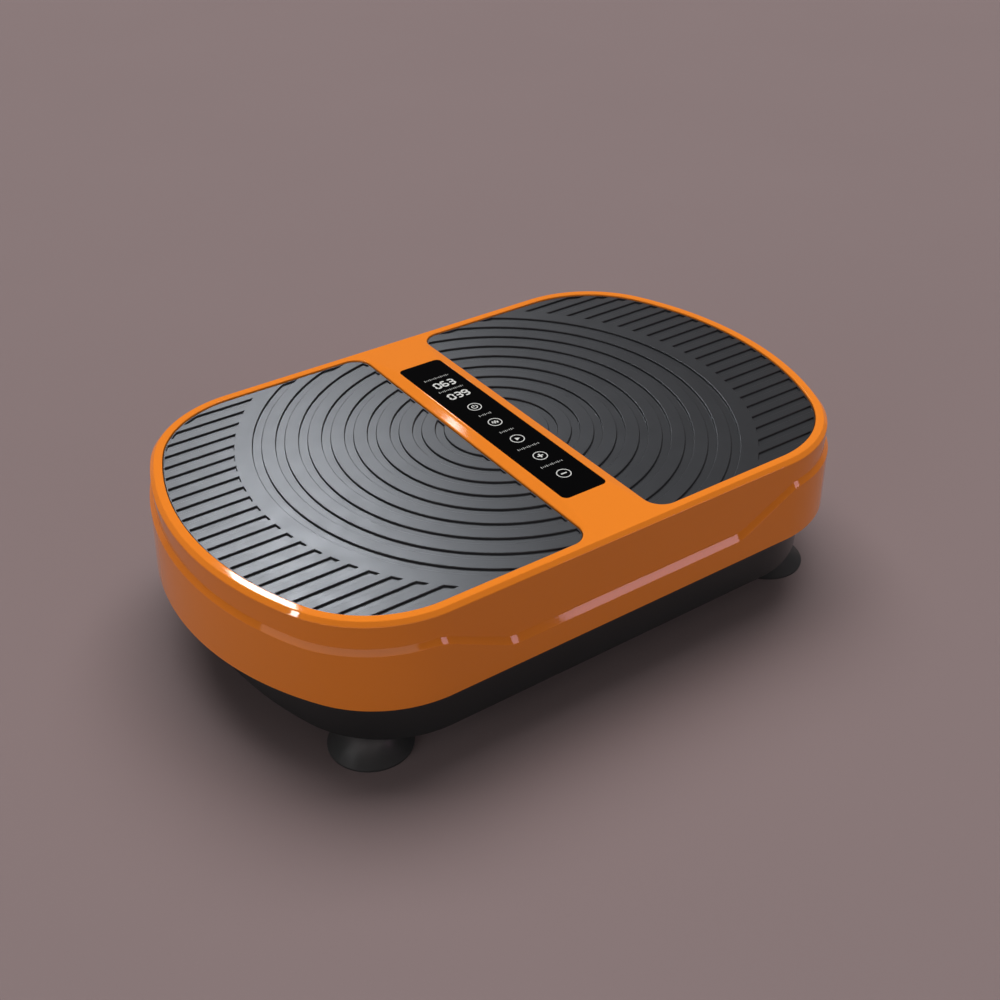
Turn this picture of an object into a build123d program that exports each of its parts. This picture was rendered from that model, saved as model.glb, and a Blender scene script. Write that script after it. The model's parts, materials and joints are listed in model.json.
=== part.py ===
from build123d import *
import os
from math import atan2, cos, degrees, radians, sin, sqrt

# Oscillating vibration plate. Millimetres, +Z up, origin on the floor under the middle.
# X runs along the plate, Y across it, and the user stands at the front, -Y, side.
# The deck (orange casing, mats, panel, steel plate) rocks on a central pivot along Y.
# A motor drives a crank shaft by belt, and its eccentric shakes the deck through a rod.

# ---------------------------------------------------------------- driving dimensions
RIM_TOP = 129.0            # flat top of the orange rim above the floor
CASING_WALL = 3.0

# plan outline of the mats: two straight long edges, two wide end arcs, four corners
MAT_TIP = 242.4
MAT_END_RADIUS = 236.0
MAT_CORNER_RADIUS = 83.0
MAT_HALF_DEPTH = 150.0

RIM_FLAT = 6.0             # width of the rim's flat band
RIM_CHAMFER = 3.0
LEDGE_STEP = 3.0           # how far the skirt's lower band stands proud
LEDGE_DROP = 4.0
LEDGE_HIGH = RIM_TOP - 19.5
LEDGE_LOW = RIM_TOP - 44.5
LEDGE_BEND_LOW_X = 100.0   # the ledge is low between these, and climbs to the ends
LEDGE_BEND_HIGH_X = 151.0
SKIRT_BOTTOM = RIM_TOP - 67.4
SKIRT_TIP = 257.8
SKIRT_END_RADIUS = 222.0
SKIRT_CORNER_RADIUS = 89.2
SKIRT_HALF_DEPTH = 163.0

# bridge and panel
BRIDGE_HALF_WIDTH = 28.07
BRIDGE_CORNER = 14.5
PANEL_WIDTH = 37.5
PANEL_LENGTH = 216.25
PANEL_CORNER = 4.5
PANEL_RISE = 2.5
PANEL_THICKNESS = 2.5
PANEL_LIP = 0.7
PANEL_GAP = 0.1
BOARD_POCKET_DEPTH = 5.5
WIRE_SLOT_Y = 70.0

# mats
MAT_RECESS = 5.5
MAT_THICKNESS = 4.2
MAT_GAP = 0.3
GROOVE_WIDTH = 6.3
GROOVE_DEPTH = 1.4
GROOVE_BORDER = 1.0         # plain strip between a groove's end and the mat's edge
RING_FIRST_RADIUS = 41.95
RING_PITCH = 16.65
RING_COUNT = 9
BAR_PITCH = 13.27
BAR_COUNT = 22
BAR_INNER_RADIUS = 191.6

# lower casing
BASE_BOTTOM = 21.4
BASE_TOP = 84.0
BASE_TIP = 234.3
BASE_END_RADIUS = 277.0
BASE_CORNER_RADIUS = 83.8
BASE_HALF_DEPTH = 150.6
BASE_FLARE = 2.0
BASE_WALL = 2.8
BASE_FLOOR = 3.0
BASE_EDGE_FILLET = 2.5
BASE_PLATE_THICKNESS = 3.0
BASE_PLATE_TOP = BASE_BOTTOM + BASE_FLOOR + BASE_PLATE_THICKNESS

# feet
FOOT_X = 181.0
FOOT_Y = 112.0
FOOT_LIP_RADIUS = 29.5
FOOT_LIP_HEIGHT = 1.4
FOOT_BELL_BENDS = ((24.5, 5.0), (19.0, 9.9))   # radius and height on the bell's flank
FOOT_BELL_TOP = 16.5
FOOT_NECK_RADIUS = 15.0
FOOT_CUP_RADIUS = 23.0     # inner edge of the ring that rests on the floor
FOOT_CUP_ROOF_RADIUS = 15.0
FOOT_CUP_ROOF_HEIGHT = 4.0
FOOT_CUP_DEPTH = 4.5
FOOT_INSERT_RADIUS = 9.0
FOOT_INSERT_BOTTOM = 7.5
FOOT_STUD_RADIUS = 4.0
STUD_REACH = 10.0          # stud above the steel base plate
NUT_RADIUS = 7.5
NUT_HEIGHT = 6.5

# pivot
PIVOT_HEIGHT = 72.0
PIVOT_Y = 108.0
PIVOT_PIN_RADIUS = 8.0
RUNNING_CLEARANCE = 0.05

# drive
CRANK_X = 100.0
CRANK_HEIGHT = 62.0
ECCENTRICITY = 1.5
ECCENTRIC_RADIUS = 16.0
CRANK_SHAFT_RADIUS = 7.5
ROD_LENGTH = 36.0
ROD_PIN_RADIUS = 5.0
ROD_HOLE_RADIUS = 8.5      # opened pivot: clears the pin at every crank and deck angle
MOTOR_X = -95.0
MOTOR_HEIGHT = 64.0
MOTOR_RADIUS = 33.0
MOTOR_FRONT_Y = -55.0
MOTOR_REAR_Y = 45.0
MOTOR_SHAFT_RADIUS = 5.0
BELT_Y = 70.0
BELT_WIDTH = 12.0
BELT_THICKNESS = 3.0
MOTOR_PULLEY_RADIUS = 13.0
CRANK_PULLEY_RADIUS = 26.0

# deck plate
DECK_TOP = RIM_TOP - MAT_RECESS - CASING_WALL
DECK_THICKNESS = 3.0
DECK_BOTTOM = DECK_TOP - DECK_THICKNESS

# fasteners
SHELL_SCREW_RADIUS = 2.0
SCREW_HEAD_RADIUS = 4.2
DECK_SCREW_HEAD = 2.6
BASE_SCREW_HEAD = 2.0
DRIVE_SLOT = (5.0, 1.0)    # cross slot in a screw head
DRIVE_SLOT_DEPTH = 1.3
SCREW_HOLE_EASE = 0.25
PILOT_DEPTH = 2.0          # deck screws reach this far into the casing
BASE_SCREW_REACH = 3.0     # base screws stand this far out of the steel base plate
BOLT_RADIUS = 3.0
BOLT_HEAD_RADIUS = 5.5
BOLT_HEAD_HEIGHT = 4.0
DECK_SCREW_SPACING = (120.0, 200.0)
BASE_SCREW_SPACING = (80.0, 236.0)
SCREWS_ALONG = 4
SCREWS_ACROSS = 2

# rear connections
INLET_X = 70.0
SWITCH_X = 28.0
REAR_HEIGHT = 42.0
ROCKER_TILT = 8.0

parts_folder = "parts"
os.makedirs(parts_folder, exist_ok=True)


def save(builder, node_name):
    """Label a finished piece and write its STEP file."""
    builder.part.label = node_name
    export_step(builder.part, f"{parts_folder}/{node_name}.step")


def plan_outline(tip, end_radius, corner_radius, half_depth):
    """Closed plan outline with tangent end arcs, corner arcs and straight long edges."""
    end_x = tip - end_radius
    corner_y = half_depth - corner_radius
    corner_x = end_x + sqrt((end_radius - corner_radius) ** 2 - corner_y**2)
    blend = degrees(atan2(corner_y, corner_x - end_x))
    with BuildLine() as outline:
        for side, facing in ((1, 0), (-1, 180)):
            CenterArc((side * end_x, 0), end_radius, facing - blend, 2 * blend)
        for side, edge, start in ((1, 1, blend), (-1, 1, 90), (-1, -1, 180 + blend), (1, -1, 270)):
            CenterArc((side * corner_x, edge * corner_y), corner_radius, start, 90 - blend)
        for edge in (1, -1):
            Line((-corner_x, edge * half_depth), (corner_x, edge * half_depth))
    return outline.line


def mat_outline(grow):
    """The mats' outline, moved outward by grow."""
    return plan_outline(
        MAT_TIP + grow, MAT_END_RADIUS + grow, MAT_CORNER_RADIUS + grow, MAT_HALF_DEPTH + grow
    )


def skirt_outline(shrink):
    """The skirt's bottom outline, moved inward by shrink."""
    return plan_outline(
        SKIRT_TIP - shrink,
        SKIRT_END_RADIUS - shrink,
        SKIRT_CORNER_RADIUS - shrink,
        SKIRT_HALF_DEPTH - shrink,
    )


def base_outline(grow):
    """The lower casing's bottom outline, moved outward by grow."""
    return plan_outline(
        BASE_TIP + grow, BASE_END_RADIUS + grow, BASE_CORNER_RADIUS + grow, BASE_HALF_DEPTH + grow
    )


def level(height):
    """Horizontal sketch plane at a height above the floor."""
    return Plane.XY.offset(height)


def across(x, y, z):
    """Vertical sketch plane through a point, facing the front, with its y along +Z."""
    return Plane(origin=(x, y, z), x_dir=(1, 0, 0), z_dir=(0, -1, 0))


# ================================================================ deck body
RIM_OFFSET = RIM_FLAT + RIM_CHAMFER
BAND_OFFSET = RIM_OFFSET + LEDGE_STEP
BOARD_POCKET = (PANEL_WIDTH - 3.0, PANEL_LENGTH - 9.0)
WIRE_SLOT = (14.0, 6.0)
BRIDGE_TOP_Y = PANEL_LENGTH / 2 + PANEL_LIP
BRIDGE_TOP_X = PANEL_WIDTH / 2 + PANEL_LIP

with BuildPart() as ledge_cutter:
    # takes the skirt's lower band away above the ledge's low stretch, front and back
    for edge in (1, -1):
        for reach, drop in ((RIM_OFFSET, 0.0), (RIM_OFFSET + 2 * LEDGE_STEP, 2 * LEDGE_DROP)):
            with BuildSketch(across(0, edge * (MAT_HALF_DEPTH + reach), 0)):
                with BuildLine():
                    Polyline(
                        (-LEDGE_BEND_HIGH_X, LEDGE_HIGH + 2 * LEDGE_DROP - drop),
                        (-LEDGE_BEND_HIGH_X, LEDGE_HIGH - drop),
                        (-LEDGE_BEND_LOW_X, LEDGE_LOW - drop),
                        (LEDGE_BEND_LOW_X, LEDGE_LOW - drop),
                        (LEDGE_BEND_HIGH_X, LEDGE_HIGH - drop),
                        (LEDGE_BEND_HIGH_X, LEDGE_HIGH + 2 * LEDGE_DROP - drop),
                        close=True,
                    )
                make_face()
        loft(ruled=True)

with BuildPart() as upper_shell:
    # skirt's lower band, from the ledge down to the flared bottom edge
    with BuildSketch(level(LEDGE_HIGH)):
        add(mat_outline(RIM_OFFSET))
        make_face()
    with BuildSketch(level(LEDGE_HIGH - LEDGE_DROP)):
        add(mat_outline(BAND_OFFSET))
        make_face()
    loft(ruled=True)
    with BuildSketch(level(LEDGE_HIGH - LEDGE_DROP)):
        add(mat_outline(BAND_OFFSET))
        make_face()
    with BuildSketch(level(SKIRT_BOTTOM)):
        add(skirt_outline(0))
        make_face()
    loft(ruled=True)
    add(ledge_cutter.part, mode=Mode.SUBTRACT)
    # straight upper wall and the rim's chamfer
    with BuildSketch(level(SKIRT_BOTTOM)):
        add(mat_outline(RIM_OFFSET))
        make_face()
    extrude(amount=RIM_TOP - RIM_CHAMFER - SKIRT_BOTTOM)
    with BuildSketch(level(RIM_TOP - RIM_CHAMFER)):
        add(mat_outline(RIM_OFFSET))
        make_face()
    with BuildSketch(level(RIM_TOP)):
        add(mat_outline(RIM_FLAT))
        make_face()
    loft(ruled=True)
    # raised bridge that carries the panel
    with BuildSketch(level(RIM_TOP)):
        Rectangle(2 * BRIDGE_HALF_WIDTH, 2 * MAT_HALF_DEPTH)
    with BuildSketch(level(RIM_TOP + PANEL_RISE)):
        Rectangle(2 * BRIDGE_TOP_X, 2 * BRIDGE_TOP_Y)
    loft(ruled=True)
    # recesses for the two mats
    with BuildSketch(level(RIM_TOP - MAT_RECESS)) as recess_sketch:
        add(mat_outline(0))
        make_face()
        Rectangle(2 * BRIDGE_HALF_WIDTH, 4 * MAT_HALF_DEPTH, mode=Mode.SUBTRACT)
        inner_corners = recess_sketch.vertices().filter_by_position(
            Axis.X, -BRIDGE_HALF_WIDTH - 1, BRIDGE_HALF_WIDTH + 1
        )
        fillet(inner_corners, radius=BRIDGE_CORNER)
    extrude(amount=MAT_RECESS + PANEL_RISE, mode=Mode.SUBTRACT)
    # pockets for the panel cover and its board
    with BuildSketch(level(RIM_TOP + PANEL_RISE - PANEL_THICKNESS)):
        RectangleRounded(PANEL_WIDTH, PANEL_LENGTH, PANEL_CORNER)
    extrude(amount=PANEL_THICKNESS, mode=Mode.SUBTRACT)
    with BuildSketch(level(RIM_TOP - BOARD_POCKET_DEPTH)):
        Rectangle(*BOARD_POCKET)
    extrude(amount=BOARD_POCKET_DEPTH, mode=Mode.SUBTRACT)
    # hollow underside: a straight inside, wider behind the proud band
    with BuildSketch(level(SKIRT_BOTTOM)):
        add(mat_outline(RIM_OFFSET - CASING_WALL))
        make_face()
    extrude(amount=DECK_TOP - SKIRT_BOTTOM, mode=Mode.SUBTRACT)
    with BuildSketch(level(LEDGE_LOW - LEDGE_DROP - CASING_WALL)):
        add(mat_outline(BAND_OFFSET - CASING_WALL))
        make_face()
    with BuildSketch(level(SKIRT_BOTTOM)):
        add(skirt_outline(CASING_WALL))
        make_face()
    loft(ruled=True, mode=Mode.SUBTRACT)
    # pilot holes for the deck screws and a slot for the panel's wires
    with BuildSketch(level(DECK_TOP)):
        with GridLocations(*DECK_SCREW_SPACING, SCREWS_ALONG, SCREWS_ACROSS):
            Circle(SHELL_SCREW_RADIUS)
    extrude(amount=PILOT_DEPTH, mode=Mode.SUBTRACT)
    with BuildSketch(level(DECK_TOP)):
        with Locations((0, WIRE_SLOT_Y)):
            SlotOverall(*WIRE_SLOT)
    extrude(amount=MAT_RECESS, mode=Mode.SUBTRACT)
save(upper_shell, "upper_shell")

MAT_BOTTOM = RIM_TOP - MAT_RECESS
MAT_TOP = MAT_BOTTOM + MAT_THICKNESS


def mat_plan(side, margin):
    """One mat recess in plan, moved inward by margin."""
    reach = 2 * MAT_TIP
    with BuildSketch() as plan:
        add(mat_outline(-margin))
        make_face()
        with Locations((side * (BRIDGE_HALF_WIDTH + margin + reach / 2), 0)):
            Rectangle(reach, 4 * MAT_HALF_DEPTH, mode=Mode.INTERSECT)
        inner_corners = plan.vertices().filter_by_position(
            Axis.X, -BRIDGE_HALF_WIDTH - 2, BRIDGE_HALF_WIDTH + 2
        )
        fillet(inner_corners, radius=BRIDGE_CORNER)
    return plan.sketch


def make_mat(side):
    """One grooved rubber mat: ring grooves about the plate's middle and end bars."""
    far = 2 * MAT_TIP
    with BuildPart() as mat:
        with BuildSketch(level(MAT_BOTTOM)):
            add(mat_plan(side, MAT_GAP))
        extrude(amount=MAT_THICKNESS)
        with BuildSketch(level(MAT_TOP - GROOVE_DEPTH)):
            with Locations((side * far / 2, 0)):
                with GridLocations(0, BAR_PITCH, 1, BAR_COUNT):
                    Rectangle(far, GROOVE_WIDTH)
            Circle(BAR_INNER_RADIUS, mode=Mode.SUBTRACT)
            for ring in reversed(range(RING_COUNT)):
                middle = RING_FIRST_RADIUS + ring * RING_PITCH
                Circle(middle + GROOVE_WIDTH / 2)
                Circle(middle - GROOVE_WIDTH / 2, mode=Mode.SUBTRACT)
            add(mat_plan(side, MAT_GAP + GROOVE_BORDER), mode=Mode.INTERSECT)
        extrude(amount=GROOVE_DEPTH, mode=Mode.SUBTRACT)
    return mat


left_mat = make_mat(-1)
save(left_mat, "left_mat")
right_mat = make_mat(1)
save(right_mat, "right_mat")

with BuildPart() as panel_cover:
    with BuildSketch(level(RIM_TOP + PANEL_RISE - PANEL_THICKNESS)):
        RectangleRounded(PANEL_WIDTH - 2 * PANEL_GAP, PANEL_LENGTH - 2 * PANEL_GAP, PANEL_CORNER)
    extrude(amount=PANEL_THICKNESS)
save(panel_cover, "panel_cover")

BOARD_LEG_RADIUS = 2.0
BOARD_LEG_HEIGHT = 1.2
BOARD_LEG_SPACING = (PANEL_WIDTH - 11.0, PANEL_LENGTH - 20.0)
PANEL_BOARD = (PANEL_WIDTH - 5.0, PANEL_LENGTH - 12.0)
PANEL_BOARD_CORNER = 1.5
PANEL_BOARD_THICKNESS = 1.6
PANEL_BOARD_BOTTOM = RIM_TOP - BOARD_POCKET_DEPTH + BOARD_LEG_HEIGHT
with BuildPart() as panel_board:
    with BuildSketch(level(PANEL_BOARD_BOTTOM)):
        RectangleRounded(*PANEL_BOARD, PANEL_BOARD_CORNER)
    extrude(amount=PANEL_BOARD_THICKNESS)
    # four short legs that stand on the pocket's floor
    with BuildSketch(level(RIM_TOP - BOARD_POCKET_DEPTH)):
        with GridLocations(*BOARD_LEG_SPACING, 2, 2):
            Circle(BOARD_LEG_RADIUS)
    extrude(amount=BOARD_LEG_HEIGHT)
save(panel_board, "panel_board")

DISPLAY_Y = 67.0
DISPLAY_SIZE = (29.0, 44.0)
DISPLAY_BOTTOM = PANEL_BOARD_BOTTOM + PANEL_BOARD_THICKNESS
DISPLAY_TOP = RIM_TOP - 0.1
DIGIT_WINDOW = (8.0, 15.0)
DIGIT_WINDOW_PITCH = (9.0, 20.0)
DIGIT_WINDOW_DEPTH = 0.8
with BuildPart() as display_module:
    with BuildSketch(level(DISPLAY_BOTTOM)):
        with Locations((0, DISPLAY_Y)):
            Rectangle(*DISPLAY_SIZE)
    extrude(amount=DISPLAY_TOP - DISPLAY_BOTTOM)
    with BuildSketch(level(DISPLAY_TOP)):
        with Locations((0, DISPLAY_Y)):
            with GridLocations(*DIGIT_WINDOW_PITCH, 3, 2):
                Rectangle(*DIGIT_WINDOW)
    extrude(amount=-DIGIT_WINDOW_DEPTH, mode=Mode.SUBTRACT)
save(display_module, "display_module")

DECK_PLATE_MARGIN = 6.0
PLATE_WIRE_SLOT = (16.0, 8.0)
with BuildPart() as deck_plate:
    with BuildSketch(level(DECK_BOTTOM)):
        add(mat_outline(-DECK_PLATE_MARGIN))
        make_face()
        with GridLocations(*DECK_SCREW_SPACING, SCREWS_ALONG, SCREWS_ACROSS):
            Circle(SHELL_SCREW_RADIUS + SCREW_HOLE_EASE, mode=Mode.SUBTRACT)
        with Locations((0, WIRE_SLOT_Y)):
            SlotOverall(*PLATE_WIRE_SLOT, mode=Mode.SUBTRACT)
    extrude(amount=DECK_THICKNESS)
save(deck_plate, "deck_plate")

with BuildPart() as deck_screws:
    with BuildSketch(level(DECK_BOTTOM - DECK_SCREW_HEAD)):
        with GridLocations(*DECK_SCREW_SPACING, SCREWS_ALONG, SCREWS_ACROSS):
            Circle(SCREW_HEAD_RADIUS)
    extrude(amount=DECK_SCREW_HEAD)
    with BuildSketch(level(DECK_BOTTOM)):
        with GridLocations(*DECK_SCREW_SPACING, SCREWS_ALONG, SCREWS_ACROSS):
            Circle(SHELL_SCREW_RADIUS)
    extrude(amount=DECK_THICKNESS + PILOT_DEPTH)
    with BuildSketch(level(DECK_BOTTOM - DECK_SCREW_HEAD)):
        with GridLocations(*DECK_SCREW_SPACING, SCREWS_ALONG, SCREWS_ACROSS):
            Rectangle(*DRIVE_SLOT)
            Rectangle(*DRIVE_SLOT, rotation=90)
    extrude(amount=DRIVE_SLOT_DEPTH, mode=Mode.SUBTRACT)
save(deck_screws, "deck_screws")

BUSH_RADIUS = 12.0
BUSH_PROUD = 1.0
HANGER_THICKNESS = 12.0
HANGER_EYE_RADIUS = 19.0
HANGER_WEB_HALF_WIDTH = 16.0
HANGER_FLANGE = 5.0
HANGER_FLANGE_SIZE = (64.0, 26.0)
HANGER_FLANGE_CORNER = 4.0
HANGER_SCREW_X = 24.0
for end_name, edge in (("front", -1), ("rear", 1)):
    with BuildPart() as hanger:
        # flange under the deck plate
        with BuildSketch(level(DECK_BOTTOM - HANGER_FLANGE)):
            with Locations((0, edge * PIVOT_Y)):
                RectangleRounded(*HANGER_FLANGE_SIZE, HANGER_FLANGE_CORNER)
                with GridLocations(2 * HANGER_SCREW_X, 0, 2, 1):
                    Circle(BOLT_RADIUS, mode=Mode.SUBTRACT)
        extrude(amount=HANGER_FLANGE)
        # tapering web with the eye
        with BuildSketch(across(0, edge * PIVOT_Y + HANGER_THICKNESS / 2, 0)):
            with Locations((0, PIVOT_HEIGHT)):
                Circle(HANGER_EYE_RADIUS)
            with BuildLine():
                Polyline(
                    (-HANGER_EYE_RADIUS, PIVOT_HEIGHT),
                    (HANGER_EYE_RADIUS, PIVOT_HEIGHT),
                    (HANGER_WEB_HALF_WIDTH, DECK_BOTTOM - HANGER_FLANGE),
                    (-HANGER_WEB_HALF_WIDTH, DECK_BOTTOM - HANGER_FLANGE),
                    close=True,
                )
            make_face()
            with Locations((0, PIVOT_HEIGHT)):
                Circle(BUSH_RADIUS, mode=Mode.SUBTRACT)
        extrude(amount=HANGER_THICKNESS)
    save(hanger, f"hanger_{end_name}")

with BuildPart() as pivot_bushes:
    for edge in (1, -1):
        with BuildSketch(across(0, edge * PIVOT_Y + HANGER_THICKNESS / 2 + BUSH_PROUD, 0)):
            with Locations((0, PIVOT_HEIGHT)):
                Circle(BUSH_RADIUS)
                Circle(PIVOT_PIN_RADIUS + RUNNING_CLEARANCE, mode=Mode.SUBTRACT)
        extrude(amount=HANGER_THICKNESS + 2 * BUSH_PROUD)
save(pivot_bushes, "pivot_bushes")

with BuildPart() as hanger_screws:
    for edge in (1, -1):
        for side in (1, -1):
            with BuildSketch(level(DECK_BOTTOM - HANGER_FLANGE - BOLT_HEAD_HEIGHT)):
                with Locations((side * HANGER_SCREW_X, edge * PIVOT_Y)):
                    RegularPolygon(BOLT_HEAD_RADIUS, 6)
            extrude(amount=BOLT_HEAD_HEIGHT)
            with BuildSketch(level(DECK_BOTTOM - HANGER_FLANGE)):
                with Locations((side * HANGER_SCREW_X, edge * PIVOT_Y)):
                    Circle(BOLT_RADIUS)
            extrude(amount=HANGER_FLANGE)
save(hanger_screws, "hanger_screws")

ROD_PIN_HEIGHT = CRANK_HEIGHT + ROD_LENGTH
BRACKET_EAR = 5.0
BRACKET_EAR_START = 10.0   # inner face of each ear, clear of the rod
BRACKET_BASE = 3.0
BRACKET_BASE_SIZE = (34.0, 44.0)
BRACKET_BASE_CORNER = 3.0
BRACKET_EAR_RADIUS = 10.0
with BuildPart() as rod_bracket:
    with BuildSketch(level(DECK_BOTTOM - BRACKET_BASE)):
        with Locations((CRANK_X, 0)):
            RectangleRounded(*BRACKET_BASE_SIZE, BRACKET_BASE_CORNER)
    extrude(amount=BRACKET_BASE)
    for ear_start in (-BRACKET_EAR_START, BRACKET_EAR_START + BRACKET_EAR):
        with BuildSketch(across(CRANK_X, ear_start, 0)):
            with Locations((0, ROD_PIN_HEIGHT)):
                Circle(BRACKET_EAR_RADIUS)
            with Locations((0, (ROD_PIN_HEIGHT + DECK_BOTTOM - BRACKET_BASE) / 2)):
                Rectangle(2 * BRACKET_EAR_RADIUS, DECK_BOTTOM - BRACKET_BASE - ROD_PIN_HEIGHT)
            with Locations((0, ROD_PIN_HEIGHT)):
                Circle(ROD_PIN_RADIUS, mode=Mode.SUBTRACT)
        extrude(amount=BRACKET_EAR)
save(rod_bracket, "rod_bracket")

ROD_PIN_REACH = 2.5
ROD_PIN_HEAD = 2.5         # the head's thickness, and how far it stands out all round
ROD_PIN_HALF = BRACKET_EAR_START + BRACKET_EAR + ROD_PIN_REACH
with BuildPart() as rod_pin:
    with BuildSketch(across(CRANK_X, ROD_PIN_HALF, ROD_PIN_HEIGHT)):
        Circle(ROD_PIN_RADIUS)
    extrude(amount=2 * ROD_PIN_HALF)
    with BuildSketch(across(CRANK_X, ROD_PIN_HALF + ROD_PIN_HEAD, ROD_PIN_HEIGHT)):
        Circle(ROD_PIN_RADIUS + ROD_PIN_HEAD)
    extrude(amount=ROD_PIN_HEAD)
save(rod_pin, "rod_pin")

# ================================================================ base body
VENT_SLOT = (3.6, 46.0)
VENT_PITCH = 9.0
VENT_COUNT = 8
INLET_CUTOUT = (27.0, 20.0)
INLET_SCREW_SPACING = 40.0
INLET_SCREW_RADIUS = 1.6
SWITCH_CUTOUT = (20.0, 13.0)
REAR_FACE_Y = BASE_HALF_DEPTH + BASE_FLARE * (REAR_HEIGHT - BASE_BOTTOM) / (BASE_TOP - BASE_BOTTOM)

with BuildPart() as lower_shell:
    with BuildSketch(level(BASE_BOTTOM)):
        add(base_outline(0))
        make_face()
    with BuildSketch(level(BASE_TOP)):
        add(base_outline(BASE_FLARE))
        make_face()
    loft(ruled=True)
    fillet(lower_shell.faces().sort_by(Axis.Z)[0].edges(), radius=BASE_EDGE_FILLET)
    with BuildSketch(level(BASE_BOTTOM + BASE_FLOOR)):
        add(base_outline(-BASE_WALL))
        make_face()
    with BuildSketch(level(BASE_TOP)):
        add(base_outline(BASE_FLARE - BASE_WALL))
        make_face()
    loft(ruled=True, mode=Mode.SUBTRACT)
    # air slots under the motor, stud holes for the feet and screw holes
    with BuildSketch(level(BASE_BOTTOM)):
        with Locations((MOTOR_X, 0)):
            with GridLocations(VENT_PITCH, 0, VENT_COUNT, 1):
                SlotOverall(VENT_SLOT[1], VENT_SLOT[0], rotation=90)
        with GridLocations(2 * FOOT_X, 2 * FOOT_Y, 2, 2):
            Circle(FOOT_STUD_RADIUS + SCREW_HOLE_EASE)
        with GridLocations(*BASE_SCREW_SPACING, SCREWS_ALONG, SCREWS_ACROSS):
            Circle(SHELL_SCREW_RADIUS + SCREW_HOLE_EASE)
    extrude(amount=BASE_FLOOR, mode=Mode.SUBTRACT)
    # rear cut-outs for the power inlet and the switch
    with BuildSketch(across(0, BASE_HALF_DEPTH + 2 * BASE_FLARE, REAR_HEIGHT)):
        with Locations((INLET_X, 0)):
            Rectangle(*INLET_CUTOUT)
            with GridLocations(INLET_SCREW_SPACING, 0, 2, 1):
                Circle(INLET_SCREW_RADIUS)
        with Locations((SWITCH_X, 0)):
            Rectangle(*SWITCH_CUTOUT)
    extrude(amount=4 * BASE_WALL, mode=Mode.SUBTRACT)
save(lower_shell, "lower_shell")

BASE_PLATE_MARGIN = 2.5    # between the steel plate's edge and the shell's wall
PLATE_WINDOW = (VENT_PITCH * VENT_COUNT, VENT_SLOT[1] - 4.0)
with BuildPart() as base_plate:
    with BuildSketch(level(BASE_BOTTOM + BASE_FLOOR)):
        add(base_outline(-BASE_WALL - BASE_PLATE_MARGIN))
        make_face()
        with Locations((MOTOR_X, 0)):
            Rectangle(*PLATE_WINDOW, mode=Mode.SUBTRACT)
        with GridLocations(2 * FOOT_X, 2 * FOOT_Y, 2, 2):
            Circle(FOOT_STUD_RADIUS + SCREW_HOLE_EASE, mode=Mode.SUBTRACT)
        with GridLocations(*BASE_SCREW_SPACING, SCREWS_ALONG, SCREWS_ACROSS):
            Circle(SHELL_SCREW_RADIUS, mode=Mode.SUBTRACT)
    extrude(amount=BASE_PLATE_THICKNESS)
save(base_plate, "base_plate")

with BuildPart() as base_screws:
    with BuildSketch(level(BASE_BOTTOM - BASE_SCREW_HEAD)):
        with GridLocations(*BASE_SCREW_SPACING, SCREWS_ALONG, SCREWS_ACROSS):
            Circle(SCREW_HEAD_RADIUS)
    extrude(amount=BASE_SCREW_HEAD)
    with BuildSketch(level(BASE_BOTTOM)):
        with GridLocations(*BASE_SCREW_SPACING, SCREWS_ALONG, SCREWS_ACROSS):
            Circle(SHELL_SCREW_RADIUS)
    extrude(amount=BASE_FLOOR + BASE_PLATE_THICKNESS + BASE_SCREW_REACH)
    with BuildSketch(level(BASE_BOTTOM - BASE_SCREW_HEAD)):
        with GridLocations(*BASE_SCREW_SPACING, SCREWS_ALONG, SCREWS_ACROSS):
            Rectangle(*DRIVE_SLOT)
            Rectangle(*DRIVE_SLOT, rotation=90)
    extrude(amount=DRIVE_SLOT_DEPTH, mode=Mode.SUBTRACT)
save(base_screws, "base_screws")

for foot_name, side, edge in (
    ("foot_front_left", -1, -1),
    ("foot_front_right", 1, -1),
    ("foot_rear_left", -1, 1),
    ("foot_rear_right", 1, 1),
):
    with BuildPart() as foot:
        # suction cup: a bell that rests on a flat ring, with a neck up to the casing
        with BuildSketch(across(side * FOOT_X, edge * FOOT_Y, 0)):
            with BuildLine():
                Polyline(
                    (0, FOOT_CUP_DEPTH),
                    (FOOT_CUP_ROOF_RADIUS, FOOT_CUP_ROOF_HEIGHT),
                    (FOOT_CUP_RADIUS, 0),
                    (FOOT_LIP_RADIUS, 0),
                    (FOOT_LIP_RADIUS, FOOT_LIP_HEIGHT),
                )
                Spline(
                    (FOOT_LIP_RADIUS, FOOT_LIP_HEIGHT),
                    *FOOT_BELL_BENDS,
                    (FOOT_NECK_RADIUS, FOOT_BELL_TOP),
                )
                Polyline(
                    (FOOT_NECK_RADIUS, FOOT_BELL_TOP),
                    (FOOT_NECK_RADIUS, BASE_BOTTOM),
                    (FOOT_INSERT_RADIUS, BASE_BOTTOM),
                    (FOOT_INSERT_RADIUS, FOOT_INSERT_BOTTOM),
                    (0, FOOT_INSERT_BOTTOM),
                    (0, FOOT_CUP_DEPTH),
                )
            make_face()
        revolve(axis=Axis((side * FOOT_X, edge * FOOT_Y, 0), (0, 0, 1)))
    save(foot, foot_name)

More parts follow.
